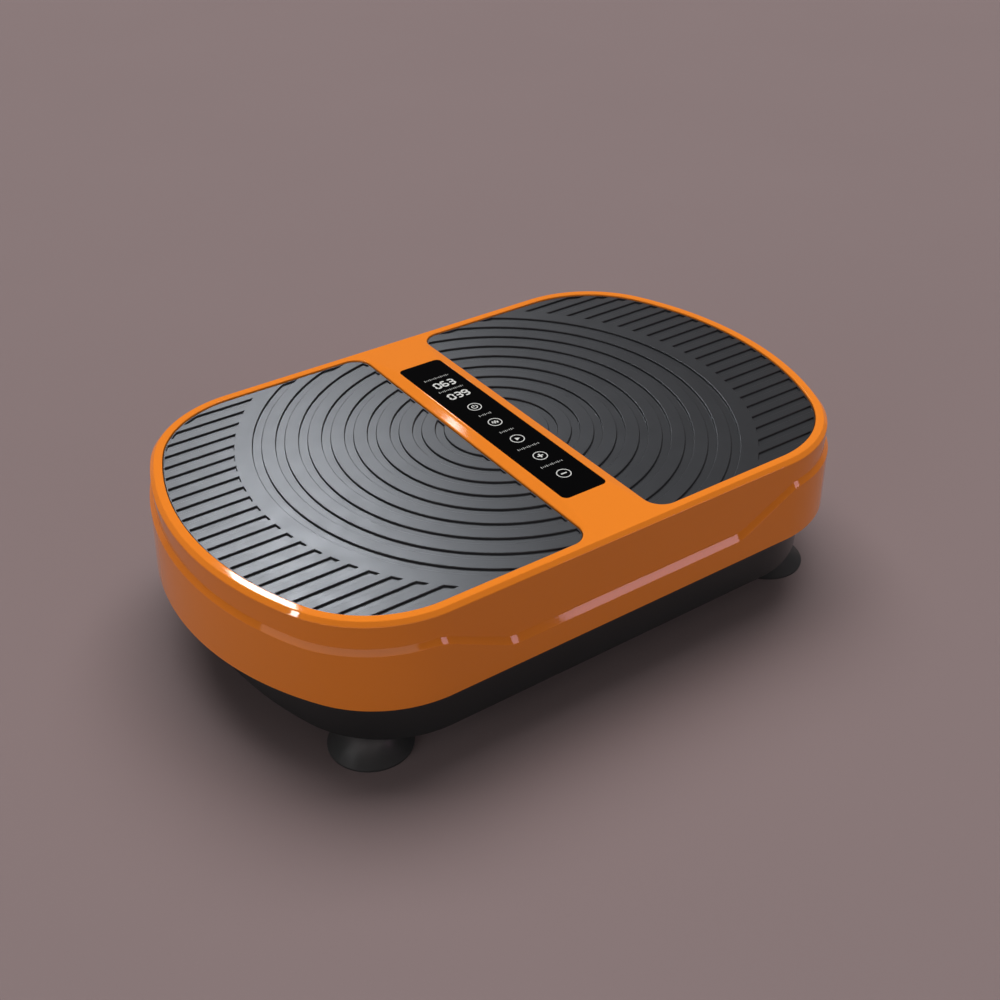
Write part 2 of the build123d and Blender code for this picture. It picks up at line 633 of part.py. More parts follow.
with BuildPart() as foot_studs:
    with BuildSketch(level(FOOT_INSERT_BOTTOM)):
        with GridLocations(2 * FOOT_X, 2 * FOOT_Y, 2, 2):
            Circle(FOOT_INSERT_RADIUS)
    extrude(amount=BASE_BOTTOM - FOOT_INSERT_BOTTOM)
    with BuildSketch(level(BASE_BOTTOM)):
        with GridLocations(2 * FOOT_X, 2 * FOOT_Y, 2, 2):
            Circle(FOOT_STUD_RADIUS)
    extrude(amount=BASE_PLATE_TOP + STUD_REACH - BASE_BOTTOM)
save(foot_studs, "foot_studs")

with BuildPart() as foot_nuts:
    with BuildSketch(level(BASE_PLATE_TOP)):
        with GridLocations(2 * FOOT_X, 2 * FOOT_Y, 2, 2):
            RegularPolygon(NUT_RADIUS, 6)
            Circle(FOOT_STUD_RADIUS, mode=Mode.SUBTRACT)
    extrude(amount=NUT_HEIGHT)
save(foot_nuts, "foot_nuts")

PEDESTAL_EAR = 6.0
PEDESTAL_GAP = HANGER_THICKNESS / 2 + 2
PEDESTAL_BASE = 6.0
PEDESTAL_LENGTH = 60.0
PEDESTAL_CORNER = 3.0
PEDESTAL_EYE_RADIUS = 15.0
PEDESTAL_WEB_HALF_WIDTH = 26.0
PIVOT_PIN_REACH = 1.5
PIVOT_PIN_HEAD = 3.0       # the head's thickness, and how far it stands out all round
for end_name, edge in (("front", -1), ("rear", 1)):
    with BuildPart() as pedestal:
        with BuildSketch(level(BASE_PLATE_TOP)):
            with Locations((0, edge * PIVOT_Y)):
                RectangleRounded(
                    PEDESTAL_LENGTH, 2 * (PEDESTAL_GAP + PEDESTAL_EAR), PEDESTAL_CORNER
                )
        extrude(amount=PEDESTAL_BASE)
        for ear_start in (PEDESTAL_GAP + PEDESTAL_EAR, -PEDESTAL_GAP):
            with BuildSketch(across(0, edge * PIVOT_Y + ear_start, 0)):
                with Locations((0, PIVOT_HEIGHT)):
                    Circle(PEDESTAL_EYE_RADIUS)
                with BuildLine():
                    Polyline(
                        (-PEDESTAL_EYE_RADIUS, PIVOT_HEIGHT),
                        (PEDESTAL_EYE_RADIUS, PIVOT_HEIGHT),
                        (PEDESTAL_WEB_HALF_WIDTH, BASE_PLATE_TOP + PEDESTAL_BASE),
                        (-PEDESTAL_WEB_HALF_WIDTH, BASE_PLATE_TOP + PEDESTAL_BASE),
                        close=True,
                    )
                make_face()
                with Locations((0, PIVOT_HEIGHT)):
                    Circle(PIVOT_PIN_RADIUS, mode=Mode.SUBTRACT)
            extrude(amount=PEDESTAL_EAR)
    save(pedestal, f"pivot_pedestal_{end_name}")

    pin_half = PEDESTAL_GAP + PEDESTAL_EAR + PIVOT_PIN_REACH
    with BuildPart() as pivot_pin:
        with BuildSketch(across(0, edge * PIVOT_Y + pin_half, PIVOT_HEIGHT)):
            Circle(PIVOT_PIN_RADIUS)
        extrude(amount=2 * pin_half)
        with BuildSketch(across(0, edge * PIVOT_Y - pin_half, PIVOT_HEIGHT)):
            Circle(PIVOT_PIN_RADIUS + PIVOT_PIN_HEAD)
        extrude(amount=PIVOT_PIN_HEAD)
    save(pivot_pin, f"pivot_pin_{end_name}")

STOP_X = 165.0
STOP_Y = 74.0
STOP_GAP = 3.4
STOP_RUBBER = 16.0
STOP_RUBBER_RADIUS = 15.0
STOP_RUBBER_CHAMFER = 3.0
STOP_POST_RADIUS = 11.0
STOP_FLANGE_RADIUS = 18.0
STOP_FLANGE = 4.0
STOP_TOP = DECK_BOTTOM - STOP_GAP
with BuildPart() as stop_posts:
    with BuildSketch(level(BASE_PLATE_TOP)):
        with GridLocations(2 * STOP_X, 2 * STOP_Y, 2, 2):
            Circle(STOP_FLANGE_RADIUS)
    extrude(amount=STOP_FLANGE)
    with BuildSketch(level(BASE_PLATE_TOP + STOP_FLANGE)):
        with GridLocations(2 * STOP_X, 2 * STOP_Y, 2, 2):
            Circle(STOP_POST_RADIUS)
    extrude(amount=STOP_TOP - STOP_RUBBER - BASE_PLATE_TOP - STOP_FLANGE)
save(stop_posts, "stop_posts")

with BuildPart() as rubber_stops:
    with BuildSketch(level(STOP_TOP - STOP_RUBBER)):
        with GridLocations(2 * STOP_X, 2 * STOP_Y, 2, 2):
            Circle(STOP_RUBBER_RADIUS)
    extrude(amount=STOP_RUBBER)
    top_edges = rubber_stops.edges().filter_by(GeomType.CIRCLE).group_by(Axis.Z)[-1]
    chamfer(top_edges, length=STOP_RUBBER_CHAMFER)
save(rubber_stops, "rubber_stops")

# ---------------------------------------------------------------- motor
CAP_THICKNESS = 8.0
CAN_WALL = 3.0
CAP_VENT_RADIUS = 4.5
CAP_VENT_CIRCLE = 19.8
CAP_VENT_COUNT = 6
CAP_SCREW_CIRCLE = 28.0
CAP_SCREW_RADIUS = 3.4
CAP_SCREW_HEIGHT = 2.5
with BuildPart() as motor_can:
    with BuildSketch(across(MOTOR_X, MOTOR_REAR_Y - CAP_THICKNESS, MOTOR_HEIGHT)):
        Circle(MOTOR_RADIUS)
        Circle(MOTOR_RADIUS - CAN_WALL, mode=Mode.SUBTRACT)
    extrude(amount=MOTOR_REAR_Y - MOTOR_FRONT_Y - 2 * CAP_THICKNESS)
save(motor_can, "motor_can")

for cap_name, cap_start in (
    ("motor_rear_cap", MOTOR_REAR_Y),
    ("motor_front_cap", MOTOR_FRONT_Y + CAP_THICKNESS),
):
    with BuildPart() as motor_cap:
        with BuildSketch(across(MOTOR_X, cap_start, MOTOR_HEIGHT)):
            Circle(MOTOR_RADIUS)
            Circle(MOTOR_SHAFT_RADIUS + RUNNING_CLEARANCE, mode=Mode.SUBTRACT)
            with PolarLocations(CAP_VENT_CIRCLE, CAP_VENT_COUNT):
                Circle(CAP_VENT_RADIUS, mode=Mode.SUBTRACT)
        extrude(amount=CAP_THICKNESS)
    save(motor_cap, cap_name)

CRADLE_WIDTH = 68.0
CRADLE_THICKNESS = 14.0
CRADLE_TOP = MOTOR_HEIGHT - 12.0
CRADLE_REAR_FACES = (21.0, -17.0)
with BuildPart() as motor_cradle:
    for cradle_y in CRADLE_REAR_FACES:
        with BuildSketch(across(MOTOR_X, cradle_y, 0)):
            with Locations((0, (BASE_PLATE_TOP + CRADLE_TOP) / 2)):
                Rectangle(CRADLE_WIDTH, CRADLE_TOP - BASE_PLATE_TOP)
            with Locations((0, MOTOR_HEIGHT)):
                Circle(MOTOR_RADIUS, mode=Mode.SUBTRACT)
        extrude(amount=CRADLE_THICKNESS)
save(motor_cradle, "motor_cradle")

STRAP_THICKNESS = 1.5
STRAP_WIDTH = 10.0
STRAP_INSET = (CRADLE_THICKNESS - STRAP_WIDTH) / 2
with BuildPart() as motor_straps:
    for cradle_y in CRADLE_REAR_FACES:
        with BuildSketch(across(MOTOR_X, cradle_y - STRAP_INSET, MOTOR_HEIGHT)):
            Circle(MOTOR_RADIUS + STRAP_THICKNESS)
            Circle(MOTOR_RADIUS, mode=Mode.SUBTRACT)
            # each strap ends on the cradle's top
            with Locations((0, CRADLE_TOP - MOTOR_HEIGHT - MOTOR_RADIUS)):
                Rectangle(4 * MOTOR_RADIUS, 2 * MOTOR_RADIUS, mode=Mode.SUBTRACT)
        extrude(amount=STRAP_WIDTH)
save(motor_straps, "motor_straps")

with BuildPart() as motor_screws:
    for cap_face in (MOTOR_REAR_Y + CAP_SCREW_HEIGHT, MOTOR_FRONT_Y):
        with BuildSketch(across(MOTOR_X, cap_face, MOTOR_HEIGHT)):
            with PolarLocations(CAP_SCREW_CIRCLE, 4, start_angle=45):
                RegularPolygon(CAP_SCREW_RADIUS, 6)
        extrude(amount=CAP_SCREW_HEIGHT)
save(motor_screws, "motor_screws")

# ---------------------------------------------------------------- crank bearings
BLOCK_Y = 37.0
BLOCK_WIDTH = 16.0
BEARING_RADIUS = 17.5
BLOCK_RADIUS = 24.0
BLOCK_SCREW_X = 32.0
BLOCK_FOOT_LENGTH = 80.0
BLOCK_FOOT_HEIGHT = 8.0
BLOCK_FOOT_CORNER = 3.0
BEARING_WIDTH = 11.0
for end_name, edge in (("front", -1), ("rear", 1)):
    with BuildPart() as bearing_block:
        with BuildSketch(level(BASE_PLATE_TOP)):
            with Locations((CRANK_X, edge * BLOCK_Y)):
                RectangleRounded(BLOCK_FOOT_LENGTH, BLOCK_WIDTH, BLOCK_FOOT_CORNER)
                with GridLocations(2 * BLOCK_SCREW_X, 0, 2, 1):
                    Circle(BOLT_RADIUS, mode=Mode.SUBTRACT)
        extrude(amount=BLOCK_FOOT_HEIGHT)
        with BuildSketch(across(CRANK_X, edge * BLOCK_Y + BLOCK_WIDTH / 2, 0)):
            with Locations((0, CRANK_HEIGHT)):
                Circle(BLOCK_RADIUS)
            with Locations((0, (BASE_PLATE_TOP + BLOCK_FOOT_HEIGHT + CRANK_HEIGHT) / 2)):
                Rectangle(2 * BLOCK_RADIUS, CRANK_HEIGHT - BASE_PLATE_TOP - BLOCK_FOOT_HEIGHT)
            with Locations((0, CRANK_HEIGHT)):
                Circle(BEARING_RADIUS, mode=Mode.SUBTRACT)
        extrude(amount=BLOCK_WIDTH)
    save(bearing_block, f"bearing_block_{end_name}")

with BuildPart() as crank_bearings:
    for edge in (1, -1):
        with BuildSketch(across(CRANK_X, edge * BLOCK_Y + BEARING_WIDTH / 2, CRANK_HEIGHT)):
            Circle(BEARING_RADIUS)
            Circle(CRANK_SHAFT_RADIUS + RUNNING_CLEARANCE, mode=Mode.SUBTRACT)
        extrude(amount=BEARING_WIDTH)
save(crank_bearings, "crank_bearings")

with BuildPart() as block_screws:
    for edge in (1, -1):
        for side in (1, -1):
            with BuildSketch(level(BASE_PLATE_TOP)):
                with Locations((CRANK_X + side * BLOCK_SCREW_X, edge * BLOCK_Y)):
                    Circle(BOLT_RADIUS)
            extrude(amount=BLOCK_FOOT_HEIGHT)
            with BuildSketch(level(BASE_PLATE_TOP + BLOCK_FOOT_HEIGHT)):
                with Locations((CRANK_X + side * BLOCK_SCREW_X, edge * BLOCK_Y)):
                    RegularPolygon(BOLT_HEAD_RADIUS, 6)
            extrude(amount=BOLT_HEAD_HEIGHT)
save(block_screws, "block_screws")

# ---------------------------------------------------------------- belt
with BuildPart() as drive_belt:
    with BuildSketch(across(0, BELT_Y + BELT_WIDTH / 2, 0)):
        with Locations((MOTOR_X, MOTOR_HEIGHT)):
            Circle(MOTOR_PULLEY_RADIUS + BELT_THICKNESS)
        with Locations((CRANK_X, CRANK_HEIGHT)):
            Circle(CRANK_PULLEY_RADIUS + BELT_THICKNESS)
        make_hull()
    extrude(amount=BELT_WIDTH)
    with BuildSketch(across(0, BELT_Y + BELT_WIDTH / 2, 0)):
        with Locations((MOTOR_X, MOTOR_HEIGHT)):
            Circle(MOTOR_PULLEY_RADIUS + RUNNING_CLEARANCE)
        with Locations((CRANK_X, CRANK_HEIGHT)):
            Circle(CRANK_PULLEY_RADIUS + RUNNING_CLEARANCE)
        make_hull()
    extrude(amount=BELT_WIDTH, mode=Mode.SUBTRACT)
save(drive_belt, "drive_belt")

# ---------------------------------------------------------------- electronics
BOARD_CENTRE = (-178.0, 0.0)
BOARD_SIZE = (56.0, 96.0)
BOARD_THICKNESS = 1.6
BOARD_HOLE_SPACING = (48.0, 88.0)
BOARD_HOLE_RADIUS = 1.6
STANDOFF_RADIUS = 3.5
STANDOFF_HEIGHT = 8.0
BOARD_HEIGHT = BASE_PLATE_TOP + STANDOFF_HEIGHT
with BuildPart() as control_board:
    with BuildSketch(level(BOARD_HEIGHT)):
        with Locations(BOARD_CENTRE):
            Rectangle(*BOARD_SIZE)
            with GridLocations(*BOARD_HOLE_SPACING, 2, 2):
                Circle(BOARD_HOLE_RADIUS, mode=Mode.SUBTRACT)
    extrude(amount=BOARD_THICKNESS)
save(control_board, "control_board")

with BuildPart() as board_standoffs:
    with BuildSketch(level(BASE_PLATE_TOP)):
        with Locations(BOARD_CENTRE):
            with GridLocations(*BOARD_HOLE_SPACING, 2, 2):
                RegularPolygon(STANDOFF_RADIUS, 6)
    extrude(amount=STANDOFF_HEIGHT)
save(board_standoffs, "board_standoffs")

BOARD_TOP = BOARD_HEIGHT + BOARD_THICKNESS
CAPACITOR_PLACE = (-168.0, 26.0)
CAPACITOR_RADIUS = 11.0
CAPACITOR_HEIGHT = 32.0
CAPACITOR_FILLET = 1.5
with BuildPart() as capacitor:
    with BuildSketch(level(BOARD_TOP)):
        with Locations(CAPACITOR_PLACE):
            Circle(CAPACITOR_RADIUS)
    extrude(amount=CAPACITOR_HEIGHT)
    fillet(capacitor.edges().group_by(Axis.Z)[-1], radius=CAPACITOR_FILLET)
save(capacitor, "capacitor")

SINK_PLACE = (-178.0, -14.0)
SINK_BACK = (34.0, 4.0)
SINK_FIN = (2.0, 14.0)
SINK_FIN_DROP = 8.0        # fin centres in front of the back's middle
SINK_FIN_PITCH = 6.0
SINK_FIN_COUNT = 6
SINK_HEIGHT = 26.0
with BuildPart() as heat_sink:
    with BuildSketch(level(BOARD_TOP)):
        with Locations(SINK_PLACE):
            Rectangle(*SINK_BACK)
            with Locations((0, -SINK_FIN_DROP)):
                with GridLocations(SINK_FIN_PITCH, 0, SINK_FIN_COUNT, 1):
                    Rectangle(*SINK_FIN)
    extrude(amount=SINK_HEIGHT)
save(heat_sink, "heat_sink")

# ---------------------------------------------------------------- rear inlet and switch
INLET_FLANGE = (49.0, 22.5)
INLET_SOCKET = (24.0, 16.0)
INLET_DEPTH = 21.0
INLET_SOCKET_DEPTH = 17.0
INLET_PROUD = 2.6
INLET_FLANGE_CORNER = 4.0
INLET_BODY_CORNER = 1.5
INLET_SOCKET_CHAMFER = 4.0
INLET_PIN = (2.0, 4.0)
INLET_PIN_LENGTH = 15.0
INLET_PIN_PLACES = ((-7.0, -2.0), (7.0, -2.0), (0.0, 2.0))
INLET_SCREW_HEAD_RADIUS = 2.8
INLET_SCREW_HEAD = 1.4
INLET_SCREW_LENGTH = 9.0
FLANGE_GAP = 0.45          # between a flange and the casing's sloping rear face
CUTOUT_EASE = 0.4          # a body is this much smaller than its cut-out
with BuildPart() as inlet_body:
    with BuildSketch(across(INLET_X, REAR_FACE_Y + INLET_PROUD, REAR_HEIGHT)):
        RectangleRounded(*INLET_FLANGE, INLET_FLANGE_CORNER)
        with GridLocations(INLET_SCREW_SPACING, 0, 2, 1):
            Circle(INLET_SCREW_RADIUS, mode=Mode.SUBTRACT)
    extrude(amount=INLET_PROUD - FLANGE_GAP)
    with BuildSketch(across(INLET_X, REAR_FACE_Y + INLET_PROUD - FLANGE_GAP, REAR_HEIGHT)):
        RectangleRounded(
            INLET_CUTOUT[0] - CUTOUT_EASE, INLET_CUTOUT[1] - CUTOUT_EASE, INLET_BODY_CORNER
        )
    extrude(amount=INLET_DEPTH)
    with BuildSketch(across(INLET_X, REAR_FACE_Y + INLET_PROUD, REAR_HEIGHT)) as socket_sketch:
        Rectangle(*INLET_SOCKET)
        chamfer(socket_sketch.vertices().group_by(Axis.Z)[-1], length=INLET_SOCKET_CHAMFER)
    extrude(amount=INLET_SOCKET_DEPTH, mode=Mode.SUBTRACT)
save(inlet_body, "inlet_body")

SOCKET_FLOOR_Y = REAR_FACE_Y + INLET_PROUD - INLET_SOCKET_DEPTH
with BuildPart() as inlet_pins:
    with BuildSketch(across(INLET_X, SOCKET_FLOOR_Y + INLET_PIN_LENGTH, REAR_HEIGHT)):
        with Locations(*INLET_PIN_PLACES):
            Rectangle(*INLET_PIN)
    extrude(amount=INLET_PIN_LENGTH)
save(inlet_pins, "inlet_pins")

with BuildPart() as inlet_screws:
    with BuildSketch(across(INLET_X, REAR_FACE_Y + INLET_PROUD + INLET_SCREW_HEAD, REAR_HEIGHT)):
        with GridLocations(INLET_SCREW_SPACING, 0, 2, 1):
            Circle(INLET_SCREW_HEAD_RADIUS)
    extrude(amount=INLET_SCREW_HEAD)
    with BuildSketch(across(INLET_X, REAR_FACE_Y + INLET_PROUD, REAR_HEIGHT)):
        with GridLocations(INLET_SCREW_SPACING, 0, 2, 1):
            Circle(INLET_SCREW_RADIUS)
    extrude(amount=INLET_SCREW_LENGTH)
save(inlet_screws, "inlet_screws")

SWITCH_FLANGE = (23.0, 16.0)
SWITCH_FLANGE_CORNER = 2.0
SWITCH_PROUD = 2.4
SWITCH_DEPTH = 18.0
SWITCH_WELL_DEPTH = 12.0
ROCKER_SIZE = (17.0, 10.6)
ROCKER_EASE = 0.8          # the well is this much larger than the rocker
ROCKER_AXIS_Y = REAR_FACE_Y - 1.0
with BuildPart() as switch_housing:
    with BuildSketch(across(SWITCH_X, REAR_FACE_Y + SWITCH_PROUD, REAR_HEIGHT)):
        RectangleRounded(*SWITCH_FLANGE, SWITCH_FLANGE_CORNER)
    extrude(amount=SWITCH_PROUD - FLANGE_GAP)
    with BuildSketch(across(SWITCH_X, REAR_FACE_Y + SWITCH_PROUD - FLANGE_GAP, REAR_HEIGHT)):
        Rectangle(SWITCH_CUTOUT[0] - CUTOUT_EASE, SWITCH_CUTOUT[1] - CUTOUT_EASE)
    extrude(amount=SWITCH_DEPTH)
    with BuildSketch(across(SWITCH_X, REAR_FACE_Y + SWITCH_PROUD, REAR_HEIGHT)):
        Rectangle(ROCKER_SIZE[0] + ROCKER_EASE, ROCKER_SIZE[1] + ROCKER_EASE)
    extrude(amount=SWITCH_WELL_DEPTH, mode=Mode.SUBTRACT)
save(switch_housing, "switch_housing")

# the rocker's cross-section about its axis: two raised ends, a dished face and a keel
ROCKER_BASE_REACH = ROCKER_SIZE[0] / 2 - 1.0
ROCKER_BASE_Y = -1.5
ROCKER_TOP_REACH = ROCKER_SIZE[0] / 2 - 0.6
ROCKER_END_Y = 4.9
ROCKER_DISH_Y = 3.9
ROCKER_KEEL_Y = -4.0
with BuildPart() as rocker:
    rocker_plane = Plane(
        origin=(SWITCH_X, ROCKER_AXIS_Y, REAR_HEIGHT - ROCKER_SIZE[1] / 2),
        x_dir=(cos(radians(ROCKER_TILT)), sin(radians(ROCKER_TILT)), 0),
        z_dir=(0, 0, 1),
    )
    with BuildSketch(rocker_plane):
        with BuildLine():
            Polyline(
                (-ROCKER_BASE_REACH, ROCKER_BASE_Y),
                (-ROCKER_TOP_REACH, ROCKER_END_Y),
                (0, ROCKER_DISH_Y),
                (ROCKER_TOP_REACH, ROCKER_END_Y),
                (ROCKER_BASE_REACH, ROCKER_BASE_Y),
                (0, ROCKER_KEEL_Y),
                close=True,
            )
        make_face()
    extrude(amount=ROCKER_SIZE[1])
save(rocker, "rocker")

# ================================================================ rotor body
MOTOR_SHAFT_REAR_Y = 80.0
MOTOR_SHAFT_FRONT_Y = -77.0
ARMATURE_RADIUS = 23.0
ARMATURE_REAR_Y = 29.0
ARMATURE_FRONT_Y = -39.0
with BuildPart() as motor_shaft:
    with BuildSketch(across(MOTOR_X, MOTOR_SHAFT_REAR_Y, MOTOR_HEIGHT)):
        Circle(MOTOR_SHAFT_RADIUS)
    extrude(amount=MOTOR_SHAFT_REAR_Y - MOTOR_SHAFT_FRONT_Y)
    # armature inside the can
    with BuildSketch(across(MOTOR_X, ARMATURE_REAR_Y, MOTOR_HEIGHT)):
        Circle(ARMATURE_RADIUS)
    extrude(amount=ARMATURE_REAR_Y - ARMATURE_FRONT_Y)
save(motor_shaft, "motor_shaft")

PULLEY_FLANGE = 1.8
PULLEY_FLANGE_RISE = BELT_THICKNESS + 1.0
PULLEY_HALF_WIDTH = BELT_WIDTH / 2 + 0.4


def make_pulley(x, height, tread_radius, bore_radius):
    """Flanged pulley whose tread carries the belt."""
    rear_face = BELT_Y + PULLEY_HALF_WIDTH + PULLEY_FLANGE
    with BuildPart() as pulley:
        with BuildSketch(across(x, BELT_Y + PULLEY_HALF_WIDTH, height)):
            Circle(tread_radius)
        extrude(amount=2 * PULLEY_HALF_WIDTH)
        for flange_start in (rear_face, BELT_Y - PULLEY_HALF_WIDTH):
            with BuildSketch(across(x, flange_start, height)):
                Circle(tread_radius + PULLEY_FLANGE_RISE)
            extrude(amount=PULLEY_FLANGE)
        with BuildSketch(across(x, rear_face, height)):
            Circle(bore_radius)
        extrude(amount=2 * (PULLEY_HALF_WIDTH + PULLEY_FLANGE), mode=Mode.SUBTRACT)
    return pulley


motor_pulley = make_pulley(MOTOR_X, MOTOR_HEIGHT, MOTOR_PULLEY_RADIUS, MOTOR_SHAFT_RADIUS)
save(motor_pulley, "motor_pulley")

FAN_HUB_RADIUS = 9.0
FAN_HUB_REAR_Y = -61.0
FAN_HUB_LENGTH = 14.0
FAN_BLADES = 7
FAN_BLADE = (21.0, 2.0)
FAN_BLADE_MIDDLE = 18.5    # from the shaft to a blade's middle
FAN_BLADE_TILT = 18.0
FAN_BLADE_LENGTH = 10.0    # along the shaft
with BuildPart() as cooling_fan:
    with BuildSketch(across(MOTOR_X, FAN_HUB_REAR_Y, MOTOR_HEIGHT)):
        Circle(FAN_HUB_RADIUS)
        Circle(MOTOR_SHAFT_RADIUS, mode=Mode.SUBTRACT)
    extrude(amount=FAN_HUB_LENGTH)
    blades_start = FAN_HUB_REAR_Y - (FAN_HUB_LENGTH - FAN_BLADE_LENGTH) / 2
    with BuildSketch(across(MOTOR_X, blades_start, MOTOR_HEIGHT)):
        with PolarLocations(FAN_BLADE_MIDDLE, FAN_BLADES):
            Rectangle(*FAN_BLADE, rotation=FAN_BLADE_TILT)
    extrude(amount=FAN_BLADE_LENGTH)
save(cooling_fan, "cooling_fan")

# ================================================================ crank body
CRANK_FRONT_Y = -62.0
CRANK_REAR_Y = 81.0
ECCENTRIC_HALF_WIDTH = 8.0
with BuildPart() as crank_shaft:
    with BuildSketch(across(CRANK_X, CRANK_REAR_Y, CRANK_HEIGHT)):
        Circle(CRANK_SHAFT_RADIUS)
    extrude(amount=CRANK_REAR_Y - CRANK_FRONT_Y)
    with BuildSketch(across(CRANK_X + ECCENTRICITY, ECCENTRIC_HALF_WIDTH, CRANK_HEIGHT)):
        Circle(ECCENTRIC_RADIUS)
    extrude(amount=2 * ECCENTRIC_HALF_WIDTH)
save(crank_shaft, "crank_shaft")

crank_pulley = make_pulley(CRANK_X, CRANK_HEIGHT, CRANK_PULLEY_RADIUS, CRANK_SHAFT_RADIUS)
save(crank_pulley, "crank_pulley")

WEIGHT_RADIUS = 24.0
WEIGHT_THICKNESS = 10.0
WEIGHT_REAR_Y = -50.0
WEIGHT_FLAT_X = 6.0        # the disc is cut off on the eccentric's side from here on
WEIGHT_HUB_RADIUS = 11.0
with BuildPart() as balance_weight:
    with BuildSketch(across(CRANK_X, WEIGHT_REAR_Y, CRANK_HEIGHT)):
        Circle(WEIGHT_RADIUS)
        with Locations((WEIGHT_FLAT_X + WEIGHT_RADIUS, 0)):
            Rectangle(2 * WEIGHT_RADIUS, 2 * WEIGHT_RADIUS, mode=Mode.SUBTRACT)
        Circle(WEIGHT_HUB_RADIUS)
        Circle(CRANK_SHAFT_RADIUS, mode=Mode.SUBTRACT)
    extrude(amount=WEIGHT_THICKNESS)
save(balance_weight, "balance_weight")

# ================================================================ rod body
BIG_END_RADIUS = 23.5
ROD_BEARING_RADIUS = 20.0
SMALL_END_RADIUS = 12.0
ROD_WEB_WIDTH = 18.0
ROD_HALF_THICKNESS = 8.0
ROD_BEARING_WIDTH = 14.0
with BuildPart() as connecting_rod:
    with BuildSketch(across(CRANK_X + ECCENTRICITY, ROD_HALF_THICKNESS, CRANK_HEIGHT)):
        Circle(BIG_END_RADIUS)
        with Locations((0, ROD_LENGTH / 2)):
            Rectangle(ROD_WEB_WIDTH, ROD_LENGTH)
        with Locations((0, ROD_LENGTH)):
            Circle(SMALL_END_RADIUS)
            Circle(ROD_HOLE_RADIUS, mode=Mode.SUBTRACT)
        Circle(ROD_BEARING_RADIUS, mode=Mode.SUBTRACT)
    extrude(amount=2 * ROD_HALF_THICKNESS)
save(connecting_rod, "connecting_rod")

with BuildPart() as rod_bearing:
    with BuildSketch(across(CRANK_X + ECCENTRICITY, ROD_BEARING_WIDTH / 2, CRANK_HEIGHT)):
        Circle(ROD_BEARING_RADIUS)
        Circle(ECCENTRIC_RADIUS + RUNNING_CLEARANCE, mode=Mode.SUBTRACT)
    extrude(amount=ROD_BEARING_WIDTH)
save(rod_bearing, "rod_bearing")
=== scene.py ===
import json
import math
import bmesh
import bpy
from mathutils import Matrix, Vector
from mathutils.geometry import delaunay_2d_cdt


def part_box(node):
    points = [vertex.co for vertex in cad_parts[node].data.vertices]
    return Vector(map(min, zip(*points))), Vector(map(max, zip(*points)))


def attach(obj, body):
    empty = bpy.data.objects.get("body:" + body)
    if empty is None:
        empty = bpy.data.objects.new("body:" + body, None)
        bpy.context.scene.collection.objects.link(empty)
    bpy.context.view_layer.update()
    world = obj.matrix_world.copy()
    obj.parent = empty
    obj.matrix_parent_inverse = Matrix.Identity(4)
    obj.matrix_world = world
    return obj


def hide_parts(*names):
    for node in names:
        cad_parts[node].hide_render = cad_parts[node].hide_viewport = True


# Looks for the vibration plate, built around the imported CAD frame.
# Shapes are worked out in millimetres and scaled to metres when a mesh is made.

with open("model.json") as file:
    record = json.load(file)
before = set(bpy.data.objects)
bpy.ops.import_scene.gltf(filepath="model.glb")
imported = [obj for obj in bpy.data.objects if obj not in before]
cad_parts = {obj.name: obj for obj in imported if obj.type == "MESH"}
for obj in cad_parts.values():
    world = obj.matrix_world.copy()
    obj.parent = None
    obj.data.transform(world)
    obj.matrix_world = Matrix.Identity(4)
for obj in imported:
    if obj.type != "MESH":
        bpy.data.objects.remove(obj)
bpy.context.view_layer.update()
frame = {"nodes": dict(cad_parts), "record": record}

MM = 0.001


def box_mm(node):
    """A CAD node's lowest and highest corners in millimetres."""
    low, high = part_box(node)
    return low / MM, high / MM


# ---------------------------------------------------------------- sizes, in millimetres
SHELL_LOW, SHELL_HIGH = box_mm("upper_shell")
MAT_LOW, MAT_HIGH = box_mm("right_mat")
PANEL_LOW, PANEL_HIGH = box_mm("panel_cover")

MAT_GAP = 0.3
MAT_TIP = MAT_HIGH.x + MAT_GAP
MAT_HALF_DEPTH = MAT_HIGH.y + MAT_GAP
MAT_END_RADIUS = 236.0
MAT_CORNER_RADIUS = 83.0
BRIDGE_HALF_WIDTH = MAT_LOW.x - MAT_GAP
BRIDGE_CORNER = 14.5

RIM_TOP = PANEL_LOW.z
RECESS_FLOOR = MAT_LOW.z
RIM_FLAT = 6.0             # outside of the rim's level top, measured from the recess edge
RIM_SKIN = 1.5             # width of the rim's top that belongs to the swept section
RIM_OFFSET = 9.0           # outside of the rim's chamfer, measured from the recess edge
RIM_CHAMFER = 3.0
BAND_OFFSET = 12.0         # outside of the skirt's lower band
LEDGE_HIGH = RIM_TOP - 19.5
LEDGE_LOW = RIM_TOP - 44.5
LEDGE_DROP = 4.0           # height of the ledge's own slope
LEDGE_BEND_LOW_X = 100.0   # the ledge climbs between these two places
LEDGE_BEND_HIGH_X = 151.0
LEDGE_BEND_SOFTNESS = 5.0
CASING_WALL = 3.0
RIM_EDGE = 1.1             # rounding of the section's edges
LEDGE_EDGE = 0.7
LEDGE_FOOT = 0.9
HEM_OUTSIDE = 0.8
HEM_INSIDE = 0.5
REACH_STEPS = 8            # steps that find the skirt's outline along a normal
CEILING = box_mm("deck_plate")[1].z        # the casing's top rests on the deck plate

SKIRT_BOTTOM = SHELL_LOW.z
SKIRT_TIP = SHELL_HIGH.x
SKIRT_HALF_DEPTH = SHELL_HIGH.y
SKIRT_END_RADIUS = 222.0
SKIRT_CORNER_RADIUS = 89.2

